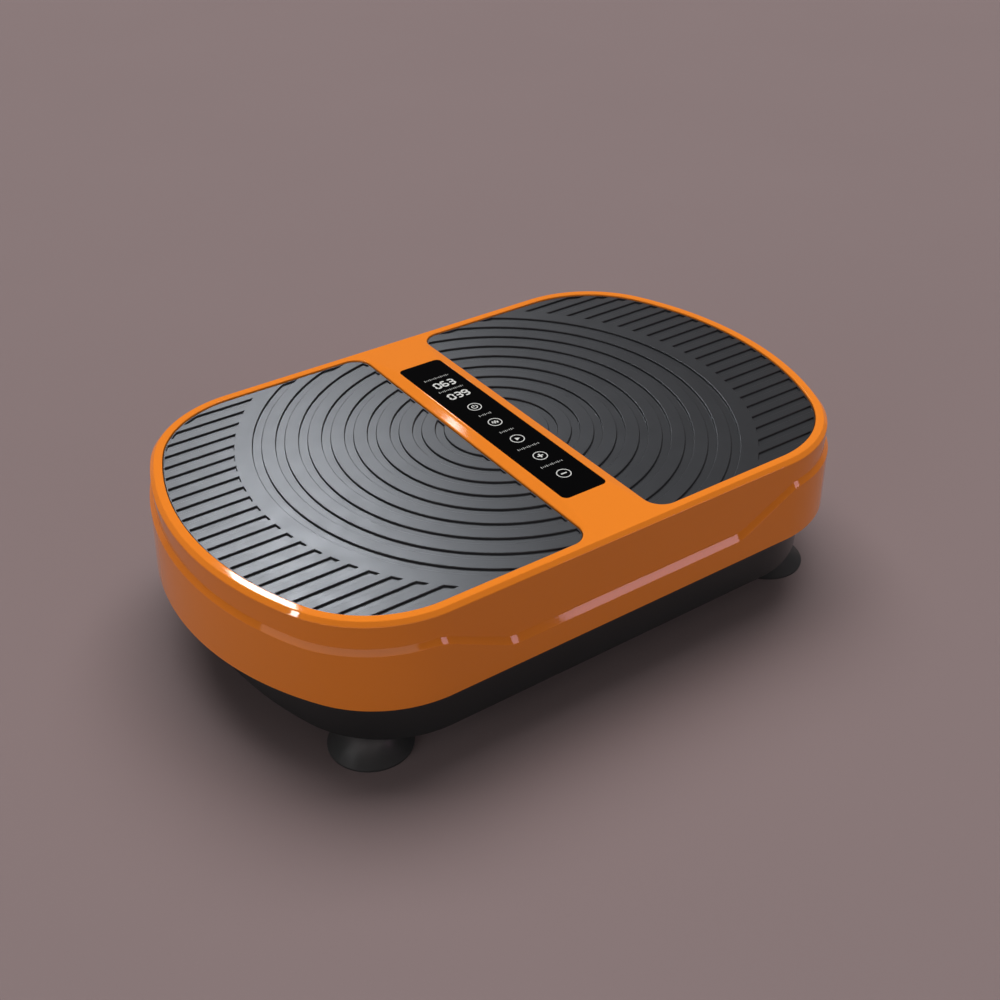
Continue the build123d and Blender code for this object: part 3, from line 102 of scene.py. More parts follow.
PANEL_GAP = 0.1
PANEL_HALF_WIDTH = PANEL_HIGH.x + PANEL_GAP
PANEL_HALF_LENGTH = PANEL_HIGH.y + PANEL_GAP
PANEL_CORNER = 4.5
PANEL_LIP = 0.7
BRIDGE_RISE = SHELL_HIGH.z - RIM_TOP
PRINT_HEIGHT = 0.08        # the printed marks stand this far above the glass

GROOVE_WIDTH = 6.3
GROOVE_DEPTH = 1.4
GROOVE_BORDER = 1.0        # plain strip between a groove's end and the mat's edge
GROOVE_EDGE = 0.5          # rounding of a groove's two top edges
RING_FIRST_RADIUS = 41.95
RING_PITCH = 16.65
RING_COUNT = 9
BAR_PITCH = 13.27
BAR_COUNT = 22
BAR_INNER_RADIUS = 191.6

END_STEPS = 22             # half of an end arc
CORNER_STEPS = 26
EDGE_STEPS = 56            # half of a long edge
ROUND_STEPS = 5            # segments round a moulded edge
SUPPORT = 0.25             # width of the flat strip that keeps shading true beside a rounded edge
SMOOTH_ANGLE = math.radians(40)        # faces that meet at less than this shade as one surface


# ---------------------------------------------------------------- mesh tools
class Shape:
    """Collects points in millimetres and faces, then becomes one Blender mesh object."""

    def __init__(self):
        self.points = []
        self.faces = []

    def ring(self, points):
        """Adds points and returns their numbers."""
        start = len(self.points)
        self.points.extend(points)
        return list(range(start, len(self.points)))

    def join(self, first, second):
        """Quads between two closed rings of the same length."""
        count = len(first)
        for i in range(count):
            j = (i + 1) % count
            self.faces.append((first[i], first[j], second[j], second[i]))

    def stack(self, rows, start=None):
        """Joins closed rows of points one after another and returns the last ring."""
        for row in rows:
            ring = self.ring(row)
            if start is not None:
                self.join(start, ring)
            start = ring
        return start

    def cap(self, ring):
        """One face across a closed ring."""
        self.faces.append(tuple(ring))

    def mesh(self, name):
        """The shape as a mesh in metres whose faces all look outward."""
        made = bpy.data.meshes.new(name)
        made.from_pydata([Vector(p) * MM for p in self.points], [], self.faces)
        rebuilt = bmesh.new()
        rebuilt.from_mesh(made)
        bmesh.ops.recalc_face_normals(rebuilt, faces=rebuilt.faces)
        rebuilt.to_mesh(made)
        rebuilt.free()
        return made

    def make(self, name, body, slot):
        """The shape as a finished piece."""
        return place(self.mesh(name), name, body)


def add_object(name, data):
    """A new object in the scene."""
    made = bpy.data.objects.new(name, data)
    bpy.context.scene.collection.objects.link(made)
    return made


def place(mesh, name, body):
    """Makes an object of a finished mesh and lets it ride on its body."""
    mesh.polygons.foreach_set("use_smooth", [True] * len(mesh.polygons))
    mesh.set_sharp_from_angle(angle=SMOOTH_ANGLE)
    piece = add_object(name, mesh)
    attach(piece, body)
    return piece


def arc(centre, radius, start, end, steps):
    """Points along an arc with their outward normals, without the last one."""
    found = []
    for i in range(steps):
        angle = start + (end - start) * i / steps
        normal = (math.cos(angle), math.sin(angle))
        found.append((centre[0] + radius * normal[0], centre[1] + radius * normal[1], *normal))
    return found


def straight(start, end, normal, steps):
    """Points along a straight run with their normal, without the last one."""
    found = []
    for i in range(steps):
        share = i / steps
        x = start[0] + (end[0] - start[0]) * share
        y = start[1] + (end[1] - start[1]) * share
        found.append((x, y, *normal))
    return found


def corner_places(tip, end_radius, corner_radius, half_depth):
    """The end arc's centre, the corner arc's centre and the angle where they meet."""
    end_x = tip - end_radius
    corner_y = half_depth - corner_radius
    corner_x = end_x + math.sqrt((end_radius - corner_radius) ** 2 - corner_y**2)
    return end_x, corner_x, corner_y, math.atan2(corner_y, corner_x - end_x)


def plan_outline(tip, end_radius, corner_radius, half_depth):
    """The whole plate's closed outline as points with outward normals."""
    end_x, corner_x, corner_y, blend = corner_places(tip, end_radius, corner_radius, half_depth)
    quarter = arc((end_x, 0), end_radius, 0, blend, END_STEPS)
    quarter += arc((corner_x, corner_y), corner_radius, blend, math.pi / 2, CORNER_STEPS)
    quarter += straight((corner_x, half_depth), (0, half_depth), (0, 1), EDGE_STEPS)
    quarter.append((0, half_depth, 0, 1))
    back = quarter[:0:-1]
    outline = quarter[:-1]
    outline += [(-x, y, -nx, ny) for x, y, nx, ny in back]
    outline += [(-x, -y, -nx, -ny) for x, y, nx, ny in quarter[:-1]]
    outline += [(x, -y, nx, -ny) for x, y, nx, ny in back]
    return outline


def mat_outline(side):
    """One mat's recess: the plate's outline cut by the bridge, with rounded inner corners."""
    end_x, corner_x, corner_y, blend = corner_places(
        MAT_TIP, MAT_END_RADIUS, MAT_CORNER_RADIUS, MAT_HALF_DEPTH
    )
    inner_x = BRIDGE_HALF_WIDTH + BRIDGE_CORNER
    inner_y = MAT_HALF_DEPTH - BRIDGE_CORNER
    half = arc((end_x, 0), MAT_END_RADIUS, 0, blend, END_STEPS)
    half += arc((corner_x, corner_y), MAT_CORNER_RADIUS, blend, math.pi / 2, CORNER_STEPS)
    half += straight((corner_x, MAT_HALF_DEPTH), (inner_x, MAT_HALF_DEPTH), (0, 1), EDGE_STEPS // 2)
    half += arc((inner_x, inner_y), BRIDGE_CORNER, math.pi / 2, math.pi, CORNER_STEPS // 2)
    half += straight((BRIDGE_HALF_WIDTH, inner_y), (BRIDGE_HALF_WIDTH, 0), (-1, 0), EDGE_STEPS)
    half.append((BRIDGE_HALF_WIDTH, 0, -1, 0))
    outline = half[:-1] + [(x, -y, nx, -ny) for x, y, nx, ny in half[:0:-1]]
    return [(side * x, y, side * nx, ny) for x, y, nx, ny in outline]


def rounded_rectangle(half_x, half_y, corner, steps=6):
    """A rounded rectangle's outline as points with outward normals."""
    outline = []
    for sx, sy, turn in ((1, 1, 0), (-1, 1, 1), (-1, -1, 2), (1, -1, 3)):
        centre = (sx * (half_x - corner), sy * (half_y - corner))
        first = turn * math.pi / 2
        outline += arc(centre, corner, first, first + math.pi / 2, steps)
        last = first + math.pi / 2
        outline.append((centre[0] + corner * math.cos(last), centre[1] + corner * math.sin(last),
                        math.cos(last), math.sin(last)))
    return outline


def grown(outline, offset, height):
    """The outline moved outward by offset, at a height or at a height found for each point."""
    row = []
    for x, y, nx, ny in outline:
        at = (x + nx * offset, y + ny * offset)
        z = height(*at) if callable(height) else height
        row.append((*at, z))
    return row


def rounding(radius):
    """How far a rounded top edge has turned inward, and how far below the top it still is."""
    turns = [math.pi / 2 * i / ROUND_STEPS for i in range(ROUND_STEPS + 1)]
    return [(radius * (1 - math.cos(turn)), radius * (1 - math.sin(turn))) for turn in turns]


def soften(corners, radii):
    """A profile of straight runs whose inner corners are rounded, with support points beside them."""
    path = [corners[0]]
    for before, here, after, radius in zip(corners, corners[1:], corners[2:], radii):
        a, p, b = Vector(before), Vector(here), Vector(after)
        into, out = (a - p).normalized(), (b - p).normalized()
        half = into.angle(out) / 2
        reach = radius / math.tan(half)
        centre = p + (into + out).normalized() * (radius / math.sin(half))
        start, end = p + into * reach, p + out * reach
        path.append(tuple(start + into * SUPPORT))
        for i in range(ROUND_STEPS + 1):
            spoke = (start - centre).lerp(end - centre, i / ROUND_STEPS).normalized()
            path.append(tuple(centre + spoke * radius))
        path.append(tuple(end + out * SUPPORT))
    path.append(corners[-1])
    return path


# ---------------------------------------------------------------- upper casing
def ledge_top(x):
    """The ledge's height at a place along the plate: low in the middle, climbing to the ends."""
    slope = (LEDGE_HIGH - LEDGE_LOW) / (LEDGE_BEND_HIGH_X - LEDGE_BEND_LOW_X)
    climb = soft_max(abs(x) - LEDGE_BEND_LOW_X, 0, LEDGE_BEND_SOFTNESS) * slope
    return LEDGE_LOW - soft_max(-climb, LEDGE_LOW - LEDGE_HIGH, LEDGE_BEND_SOFTNESS * slope)


def soft_max(a, b, width):
    """The larger of two values, blended where they are within width of each other."""
    share = min(1, max(0, 0.5 + 0.5 * (a - b) / width))
    return b + (a - b) * share + width * share * (1 - share)


def bridge_height(x, y):
    """The casing's top surface: flat on the rim, with four shallow slopes up to the panel."""
    lip_x = PANEL_HALF_WIDTH + PANEL_LIP
    lip_y = PANEL_HALF_LENGTH + PANEL_LIP
    side = (BRIDGE_HALF_WIDTH - abs(x)) / (BRIDGE_HALF_WIDTH - lip_x)
    end = (MAT_HALF_DEPTH - abs(y)) / (MAT_HALF_DEPTH - lip_y)
    return RIM_TOP + BRIDGE_RISE * max(0, min(side, end, 1))


def casing_profile(x, band_reach):
    """The casing's section from the rim's flat over the skirt and up its inside."""
    flare = (band_reach - BAND_OFFSET) / (LEDGE_HIGH - LEDGE_DROP - SKIRT_BOTTOM)
    top = ledge_top(x)
    run = (BAND_OFFSET - RIM_OFFSET) / LEDGE_DROP
    # where the ledge's slope meets the flared band
    band_start = BAND_OFFSET + flare * (LEDGE_HIGH - LEDGE_DROP)
    band_top = (RIM_OFFSET + run * top - band_start) / (run - flare)
    band_offset = RIM_OFFSET + run * (top - band_top)
    inner_step = LEDGE_LOW - LEDGE_DROP - CASING_WALL
    corners = [
        (RIM_FLAT - RIM_SKIN, RIM_TOP),
        (RIM_FLAT, RIM_TOP),
        (RIM_OFFSET, RIM_TOP - RIM_CHAMFER),
        (RIM_OFFSET, top),
        (band_offset, band_top),
        (band_reach, SKIRT_BOTTOM),
        (band_reach - CASING_WALL, SKIRT_BOTTOM),
        (BAND_OFFSET - CASING_WALL, inner_step),
    ]
    path = soften(corners, (RIM_EDGE, RIM_EDGE, LEDGE_EDGE, LEDGE_FOOT, HEM_OUTSIDE, HEM_INSIDE))
    return path + [(RIM_OFFSET - CASING_WALL, inner_step), (RIM_OFFSET - CASING_WALL, CEILING)]


def beyond_skirt(x, y):
    """How far a point in plan is outside the skirt's bottom outline; negative inside it."""
    x, y = abs(x), abs(y)
    end_x, corner_x, corner_y, blend = corner_places(
        SKIRT_TIP, SKIRT_END_RADIUS, SKIRT_CORNER_RADIUS, SKIRT_HALF_DEPTH
    )
    if x < corner_x:
        return y - SKIRT_HALF_DEPTH
    if math.atan2(y - corner_y, x - corner_x) < blend:
        return math.hypot(x - end_x, y) - SKIRT_END_RADIUS
    return math.hypot(x - corner_x, y - corner_y) - SKIRT_CORNER_RADIUS


def casing_rows():
    """Closed rows of the casing's skin, from the rim's flat down the skirt and up inside."""
    columns = []
    for x, y, nx, ny in plan_outline(MAT_TIP, MAT_END_RADIUS, MAT_CORNER_RADIUS, MAT_HALF_DEPTH):
        reach = BAND_OFFSET
        for _ in range(REACH_STEPS):
            reach -= beyond_skirt(x + nx * reach, y + ny * reach)
        section = casing_profile(x, reach)
        columns.append([(x + nx * offset, y + ny * offset, z) for offset, z in section])
    return [list(row) for row in zip(*columns)]


def edge_rows(outline, radius, floor):
    """Rows from a surface round a moulded edge and down a recess wall to its floor."""
    steps = [(radius + SUPPORT, 0), *reversed(rounding(radius)), (0, radius + SUPPORT)]
    rows = []
    for offset, drop in steps:
        rows.append(grown(outline, offset, lambda x, y, d=drop: bridge_height(x, y) - d))
    rows.append(grown(outline, 0, floor))
    return rows


def bridge_points(keep_out):
    """Points spread over the bridge's slopes, away from the panel's pocket and the recesses."""
    step = 2.0
    clear = 0.5
    lip_x = PANEL_HALF_WIDTH + PANEL_LIP
    lip_y = PANEL_HALF_LENGTH + PANEL_LIP
    found = []
    rows = int(MAT_HALF_DEPTH // step)
    columns = int(BRIDGE_HALF_WIDTH // step)
    for row in range(-rows, rows + 1):
        for column in range(-columns, columns + 1):
            x, y = column * step, row * step
            beyond_panel = abs(x) > lip_x + clear or abs(y) > lip_y + clear
            if beyond_panel and abs(x) < BRIDGE_HALF_WIDTH - keep_out:
                found.append((x, y))
    return found


def make_upper_casing():
    """The orange casing: rim, chamfer, stepped skirt, two recesses and the bridge."""
    recess_edge, pocket_edge = 0.8, 0.35
    bridge_margin = 1.0
    shelf_side, shelf_end = 1.5, 4.5
    shape = Shape()
    rows = casing_rows()
    ceiling = shape.stack(rows)
    shape.cap(ceiling)
    rims = [list(range(len(rows[0])))]
    for side in (-1, 1):
        recess = edge_rows(mat_outline(side), recess_edge, RECESS_FLOOR)
        rims.append(list(range(len(shape.points), len(shape.points) + len(recess[0]))))
        shape.cap(shape.stack(recess))
    pocket = rounded_rectangle(PANEL_HALF_WIDTH, PANEL_HALF_LENGTH, PANEL_CORNER)
    board = rounded_rectangle(
        PANEL_HALF_WIDTH - shelf_side, PANEL_HALF_LENGTH - shelf_end, PANEL_CORNER - shelf_side
    )
    pocket_rows = edge_rows(pocket, pocket_edge, PANEL_LOW.z)
    pocket_rows += [grown(board, 0, PANEL_LOW.z), grown(board, 0, RECESS_FLOOR)]
    rims.append(list(range(len(shape.points), len(shape.points) + len(pocket_rows[0]))))
    shape.cap(shape.stack(pocket_rows))
    cover_top(shape, rims, bridge_points(recess_edge + bridge_margin))
    piece = shape.make("upper_casing", "deck", "orange_gloss")
    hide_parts("upper_shell")
    return piece


def cover_top(shape, rims, extra):
    """Triangles between the rim's outer row and the rows round the recesses and the pocket."""
    flat, edges, origin, owner = [], [], [], []
    for number, ring in enumerate(rims):
        start = len(flat)
        for i, index in enumerate(ring):
            flat.append(Vector(shape.points[index][:2]))
            origin.append(index)
            owner.append(number)
            edges.append((start + i, start + (i + 1) % len(ring)))
    for x, y in extra:
        flat.append(Vector((x, y)))
        origin.append(shape.ring([(x, y, bridge_height(x, y))])[0])
        owner.append(0)
    inside_only, tolerance = 1, 1e-6
    _, _, faces, sources, _, _ = delaunay_2d_cdt(flat, edges, [], inside_only, tolerance)
    for face in faces:
        corners = [sources[v][0] for v in face]
        owners = {owner[c] for c in corners}
        # the openings' rows are convex, so a triangle with all its corners on one lies in that opening
        if len(owners) > 1 or owners == {0}:
            shape.faces.append(tuple(origin[c] for c in corners))


# ---------------------------------------------------------------- mats
def mat_body(side):
    """The mat without its grooves: a slab with a rounded top edge."""
    edge, foot = 0.5, 0.3
    outline = mat_outline(side)
    shape = Shape()
    rows = [
        grown(outline, -MAT_GAP - foot, MAT_LOW.z),
        grown(outline, -MAT_GAP, MAT_LOW.z + foot),
    ]
    for inward, drop in rounding(edge):
        rows.append(grown(outline, -MAT_GAP - inward, MAT_HIGH.z - drop))
    last = shape.stack(rows)
    shape.cap(list(range(len(outline))))
    shape.cap(last)
    return shape


def groove_section():
    """Half widths of the groove at heights measured from the mat's top, from its floor up."""
    half = GROOVE_WIDTH / 2
    draft = 0.12
    run_on = 2.5
    section = [(half - draft, -GROOVE_DEPTH)]
    for turn in (0, 30, 60, 90):
        angle = math.radians(turn)
        section.append((half + GROOVE_EDGE * (1 - math.cos(angle)), GROOVE_EDGE * (math.sin(angle) - 1)))
    # the last chord runs on a little way above the mat, so that the cut is clean
    (before_w, before_h), (last_w, last_h) = section[-2:]
    section[-1] = (last_w + run_on * (last_w - before_w), last_h + run_on * (last_h - before_h))
    return section


def turn_section(shape, section, steps, middle=(0, 0)):
    """Sweeps a closed section of radii and heights once round a middle point."""
    turns = [2 * math.pi * i / steps for i in range(steps)]
    rings = []
    for r, z in section:
        row = [(middle[0] + r * math.cos(t), middle[1] + r * math.sin(t), z) for t in turns]
        rings.append(shape.ring(row))
    for first, second in zip(rings, rings[1:] + rings[:1]):
        shape.join(first, second)


def ring_cutter(shape, radius, steps=160):
    """A ring-shaped cutter for one circular groove."""
    half = [(w, MAT_HIGH.z + h) for w, h in groove_section()]
    section = [(radius - w, z) for w, z in half]
    section += [(radius + w, z) for w, z in reversed(half)]
    turn_section(shape, section, steps)


def bar_cutter(shape, side, y, steps=4):
    """A cutter for one straight groove, from the inner circle out past the mat's edge."""
    far = side * (MAT_TIP + 10)
    rings = []
    for w, h in groove_section():
        row = []
        for i in range(steps + 1):
            across = y - w + 2 * w * i / steps
            start = math.sqrt(BAR_INNER_RADIUS**2 - across**2) - (w - GROOVE_WIDTH / 2)
            row.append((side * start, across, MAT_HIGH.z + h))
        row.append((far, y + w, MAT_HIGH.z + h))
        row.append((far, y - w, MAT_HIGH.z + h))
        rings.append(shape.ring(row))
    for lower, upper in zip(rings, rings[1:]):
        shape.join(lower, upper)
    shape.cap(rings[0])
    shape.cap(rings[-1])


def groove_area(side):
    """The space that the grooves keep to, a little inside the mat's edge."""
    outline = mat_outline(side)
    shape = Shape()
    spare_below, spare_above = 1, 4
    low, high = MAT_HIGH.z - GROOVE_DEPTH - spare_below, MAT_HIGH.z + spare_above
    rows = [grown(outline, -MAT_GAP - GROOVE_BORDER, z) for z in (low, high)]
    shape.cap(shape.stack(rows))
    shape.cap(list(range(len(outline))))
    return shape


def combine(piece, other, operation):
    """Changes a piece by its exact difference or intersection with another, which is used up."""
    modifier = piece.modifiers.new("combine", "BOOLEAN")
    modifier.operation = operation
    modifier.solver = "EXACT"
    modifier.object = other
    evaluated = piece.evaluated_get(bpy.context.evaluated_depsgraph_get())
    finished = bpy.data.meshes.new_from_object(evaluated)
    piece.modifiers.clear()
    piece.data = finished
    bpy.data.objects.remove(other)


def keep_flats_true(mesh):
    """Marks the edges round every level face as sharp, so that rounded edges don't tilt its shading."""
    level = 0.9995
    level_edges, other_edges = set(), set()
    for face in mesh.polygons:
        edges = level_edges if abs(face.normal.z) > level else other_edges
        edges.update(face.edge_keys)
    for edge in mesh.edges:
        if edge.key in level_edges and edge.key in other_edges:
            edge.use_edge_sharp = True


def make_mat(side, node):
    """A rubber mat with ring grooves about the plate's middle and straight grooves at its end."""
    cutters = Shape()
    for ring in range(RING_COUNT):
        ring_cutter(cutters, RING_FIRST_RADIUS + ring * RING_PITCH)
    for bar in range(BAR_COUNT):
        bar_cutter(cutters, side, (bar - (BAR_COUNT - 1) / 2) * BAR_PITCH)
    # these three objects only take part in the cuts and aren't kept
    grooves = add_object(node + "_grooves", cutters.mesh(node + "_grooves"))
    area = add_object(node + "_area", groove_area(side).mesh(node + "_area"))
    blank = add_object(node + "_blank", mat_body(side).mesh(node + "_blank"))
    combine(grooves, area, "INTERSECT")
    combine(blank, grooves, "DIFFERENCE")
    mesh = blank.data
    bpy.data.objects.remove(blank)
    piece = place(mesh, node + "_rubber", "deck")
    keep_flats_true(mesh)
    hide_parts(node)
    return piece


# ---------------------------------------------------------------- panel
def make_panel():
    """The black glass panel with a small rounded edge."""
    edge = 0.3
    top = PANEL_HIGH.z - PRINT_HEIGHT
    outline = rounded_rectangle(PANEL_HIGH.x, PANEL_HIGH.y, PANEL_CORNER)
    shape = Shape()
    rows = [grown(outline, 0, PANEL_LOW.z)]
    for inward, drop in rounding(edge):
        rows.append(grown(outline, -inward, top - drop))
    rows.append(grown(outline, -edge - SUPPORT, top))
    shape.cap(shape.stack(rows))
    shape.cap(list(range(len(outline))))
    piece = shape.make("panel_glass", "deck", "panel_gloss")
    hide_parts("panel_cover")
    return piece


def print_mark(shape, outline, place_at):
    """A printed mark: a thin raised shape whose outline is in millimetres about its own middle."""
    x, y = place_at
    low = PANEL_HIGH.z - PRINT_HEIGHT
    bottom = shape.ring([(x + px, y + py, low) for px, py in outline])
    top = shape.ring([(x + px, y + py, PANEL_HIGH.z) for px, py in outline])
    shape.join(bottom, top)
    shape.cap(bottom)
    shape.cap(top)


def print_band(shape, middle_line, width, place_at):
    """A printed line of even width along an open run of points."""
    left, right = [], []
    for i, point in enumerate(middle_line):
        before = Vector(middle_line[max(0, i - 1)])
        after = Vector(middle_line[min(len(middle_line) - 1, i + 1)])
        along = (after - before).normalized()
        side = Vector((-along.y, along.x)) * width / 2
        left.append(tuple(Vector(point) + side))
        right.append(tuple(Vector(point) - side))
    print_mark(shape, left + right[::-1], place_at)


def circle_line(radius, start, end, steps):
    """Points along a circle about the origin."""
    angles = [start + (end - start) * i / steps for i in range(steps + 1)]
    return [(radius * math.cos(a), radius * math.sin(a)) for a in angles]


def print_ring(shape, radius, width, place_at, steps=56):
    """A printed full circle."""
    low, high = PANEL_HIGH.z - PRINT_HEIGHT, PANEL_HIGH.z
    inner, outer = radius - width / 2, radius + width / 2
    turn_section(shape, [(inner, low), (outer, low), (outer, high), (inner, high)], steps, place_at)


# lit segments in the order top, upper right, lower right, bottom, lower left, upper left, middle
SEGMENTS = {"0": "1111110", "3": "1111001", "6": "1011111", "9": "1111011"}


def print_digit(shape, figure, place_at, height=8.8, width=5.7, stroke=1.5):
    """A seven-segment figure."""
    x, y = place_at
    half_x, half_y = (width - stroke) / 2, (height - stroke) / 2
    gap = 0.12
    places = [
        ((0, half_y), (half_x, 0)), ((half_x, half_y / 2), (0, half_y / 2)),
        ((half_x, -half_y / 2), (0, half_y / 2)), ((0, -half_y), (half_x, 0)),
        ((-half_x, -half_y / 2), (0, half_y / 2)), ((-half_x, half_y / 2), (0, half_y / 2)),
        ((0, 0), (half_x, 0)),
    ]
    for lit, ((cx, cy), (reach_x, reach_y)) in zip(SEGMENTS[figure], places):
        if lit == "1":
            reach = max(reach_x, reach_y) - gap
            half = stroke / 2
            bar = [(reach, 0), (reach - half, half), (half - reach, half), (-reach, 0),
                   (half - reach, -half), (reach - half, -half)]
            if reach_y:
                bar = [(-py, px) for px, py in bar]
            print_mark(shape, bar, (x + cx, y + cy))


def print_caption(shape, place_at, length, height=2.3):
    """A row of small upright dashes of uneven height where a caption stands."""
    pitch, half = 1.6, 0.3
    shortening = 0.28
    count = int(length / pitch)
    for i in range(count):
        offset = (i - (count - 1) / 2) * pitch
        reach = height / 2 * (1 - shortening * (i * 2 % 3))
        bar = [(-half, -reach), (half, -reach), (half, reach), (-half, reach)]
        print_mark(shape, bar, (place_at[0] + offset, place_at[1]))


def make_display():
    """Two rows of figures, and the captions of the rows and the keys."""
    figures, captions = Shape(), Shape()
    figures_x, figure_pitch, captions_x = 0.6, 6.3, 0.4
    for text, y in (("063", 71.3), ("039", 51.3)):
        for i, figure in enumerate(text):
            print_digit(figures, figure, (figures_x + (i - 1) * figure_pitch, y))
    display_captions = ((82.4, 22.5), (61.5, 23.0))
    key_captions = ((15.5, 12.5), (-12.6, 13.0), (-39.6, 19.5), (-67.6, 19.5))
    for y, length in display_captions + key_captions:
        print_caption(captions, (captions_x, y), length)
    figures.make("display_figures", "deck", "panel_gloss")
    captions.make("panel_captions", "deck", "panel_gloss")


def make_icons():
    """Five touch keys: a ring each, with power, vibration, start, plus and minus signs."""
    icons = Shape()
    heights = {"power": 29.1, "wave": 2.2, "start": -26.1, "plus": -54.1, "minus": -81.9}
    keys = {name: (0.3, y) for name, y in heights.items()}
    ring_radius, ring_width, stroke, wave_stroke = 5.1, 0.7, 0.75, 0.8
    for middle in keys.values():
        print_ring(icons, ring_radius, ring_width, middle)
    power_radius, power_gap = 2.2, 0.55
    power_line = circle_line(power_radius, math.pi / 2 + power_gap, 2.5 * math.pi - power_gap, 28)
    print_band(icons, power_line, stroke, keys["power"])
    print_band(icons, [(0, 0.3), (0, 2.9)], stroke, keys["power"])
    wave_steps = [i / 4 - 5 for i in range(41)]
    wave = [(t * 0.46, 1.6 * math.sin(t * 1.35)) for t in wave_steps]
    print_band(icons, wave, wave_stroke, keys["wave"])
    print_mark(icons, [(-1.4, -1.9), (2.1, 0), (-1.4, 1.9)], keys["start"])
    arm, half = 2.4, 0.6
    quarter = [(arm, half), (half, half), (half, arm)]
    plus = quarter + [(-x, y) for x, y in quarter[::-1]]
    plus += [(-x, -y) for x, y in plus]
    print_mark(icons, plus, keys["plus"])
    print_mark(icons, [(arm, half), (-arm, half), (-arm, -half), (arm, -half)], keys["minus"])
    icons.make("panel_icons", "deck", "panel_gloss")


# ---------------------------------------------------------------- materials
class Finish:
    """A procedural material: a principled shader whose colour, roughness and relief come from noise."""

    def __init__(self, name, colour, roughness, metallic=0.0):
        self.material = bpy.data.materials.new(name)
        self.material.use_nodes = True
        self.tree = self.material.node_tree
        self.shader = self.tree.nodes["Principled BSDF"]
        self.shader.inputs["Base Color"].default_value = (*colour, 1)
        self.shader.inputs["Roughness"].default_value = roughness
        self.shader.inputs["Metallic"].default_value = metallic
        self.colour = colour
        self.roughness = roughness

    def node(self, kind, **values):
        """A new shader node with its settings."""
        made = self.tree.nodes.new(kind)
        for key, value in values.items():
            setattr(made, key, value)
        return made

    def link(self, source, target):
        self.tree.links.new(source, target)

    def noise(self, scale, detail=2.0, stretch=(1, 1, 1)):
        """Noise in the object's own space; scale is in cycles for each metre."""
        place_node = self.node("ShaderNodeTexCoord")
        mapping = self.node("ShaderNodeMapping")
        mapping.inputs["Scale"].default_value = stretch
        texture = self.node("ShaderNodeTexNoise")
        texture.inputs["Scale"].default_value = scale
        texture.inputs["Detail"].default_value = detail
        self.link(place_node.outputs["Object"], mapping.inputs["Vector"])
        self.link(mapping.outputs["Vector"], texture.inputs["Vector"])
        return texture.outputs["Fac"]

    def ramp(self, source, low, high):
        """Maps a noise value's middle range onto low to high."""
        spread = self.node("ShaderNodeMapRange")
        spread.inputs["From Min"].default_value = 0.3
        spread.inputs["From Max"].default_value = 0.7
        spread.inputs["To Min"].default_value = low
        spread.inputs["To Max"].default_value = high
        self.link(source, spread.inputs["Value"])
        return spread.outputs["Result"]

    def vary_colour(self, source, amount):
        """Lightens and darkens the base colour with a noise value."""
        mix = self.node("ShaderNodeMix", data_type="RGBA")
        light = [min(1, c * (1 + amount)) for c in self.colour]
        dark = [c * (1 - amount) for c in self.colour]
        mix.inputs["A"].default_value = (*dark, 1)
        mix.inputs["B"].default_value = (*light, 1)
        self.link(self.ramp(source, 0, 1), mix.inputs["Factor"])
        self.link(mix.outputs["Result"], self.shader.inputs["Base Color"])
        return self

    def vary_roughness(self, source, amount):
        """Raises and lowers the roughness with a noise value."""
        self.link(
            self.ramp(source, max(0.02, self.roughness - amount), self.roughness + amount),
            self.shader.inputs["Roughness"],
        )
        return self

    def relief(self, source, distance):
        """Adds fine relief; distance is its height in millimetres."""
        bump = self.node("ShaderNodeBump")
        bump.inputs["Strength"].default_value = 1.0
        bump.inputs["Distance"].default_value = distance * MM
        self.link(source, bump.inputs["Height"])
        self.link(bump.outputs["Normal"], self.shader.inputs["Normal"])
        return self


def orange_plastic():
    """Polished moulded plastic."""
    finish = Finish("orange_gloss_plastic", (0.80, 0.216, 0.015), 0.045)
    finish.vary_colour(finish.noise(9, 3), 0.012)
    finish.vary_roughness(finish.noise(35, 4), 0.015)
    finish.relief(finish.noise(260, 1), 0.004)
    return finish.material


def black_plastic():
    """Moulded plastic with a soft gloss."""
    finish = Finish("black_moulded_plastic", (0.017, 0.0182, 0.0188), 0.17)
    finish.vary_colour(finish.noise(14, 4), 0.12)
    finish.vary_roughness(finish.noise(60, 5), 0.05)
    finish.relief(finish.noise(1500, 2), 0.01)
    return finish.material


def mat_rubber():
    """Satin rubber with a fine grain."""
    finish = Finish("mat_rubber", (0.0205, 0.0212, 0.0235), 0.35)
    finish.vary_colour(finish.noise(16, 4), 0.08)
    finish.vary_roughness(finish.noise(70, 5), 0.02)
    finish.relief(finish.noise(2400, 2), 0.01)
    return finish.material


def foot_rubber():
    """Duller rubber with a coarser grain."""
    finish = Finish("foot_rubber", (0.030, 0.0305, 0.031), 0.42)
    finish.vary_colour(finish.noise(40, 4), 0.12)
    finish.vary_roughness(finish.noise(90, 4), 0.06)
    finish.relief(finish.noise(1800, 2), 0.015)
    return finish.material


def panel_glass():
    """Black glass that reflects little."""
    finish = Finish("panel_black_glass", (0.0016, 0.0016, 0.0018), 0.08)
    finish.vary_colour(finish.noise(12, 2), 0.1)
    finish.vary_roughness(finish.noise(25, 4), 0.02)
    finish.shader.inputs["IOR"].default_value = 1.1
    return finish.material


def printed_ink(name, grey):
    """Matt ink of one grey."""
    finish = Finish(name, (grey, grey, grey * 0.97), 0.4)
    finish.vary_colour(finish.noise(400, 3), 0.06)
    return finish.material


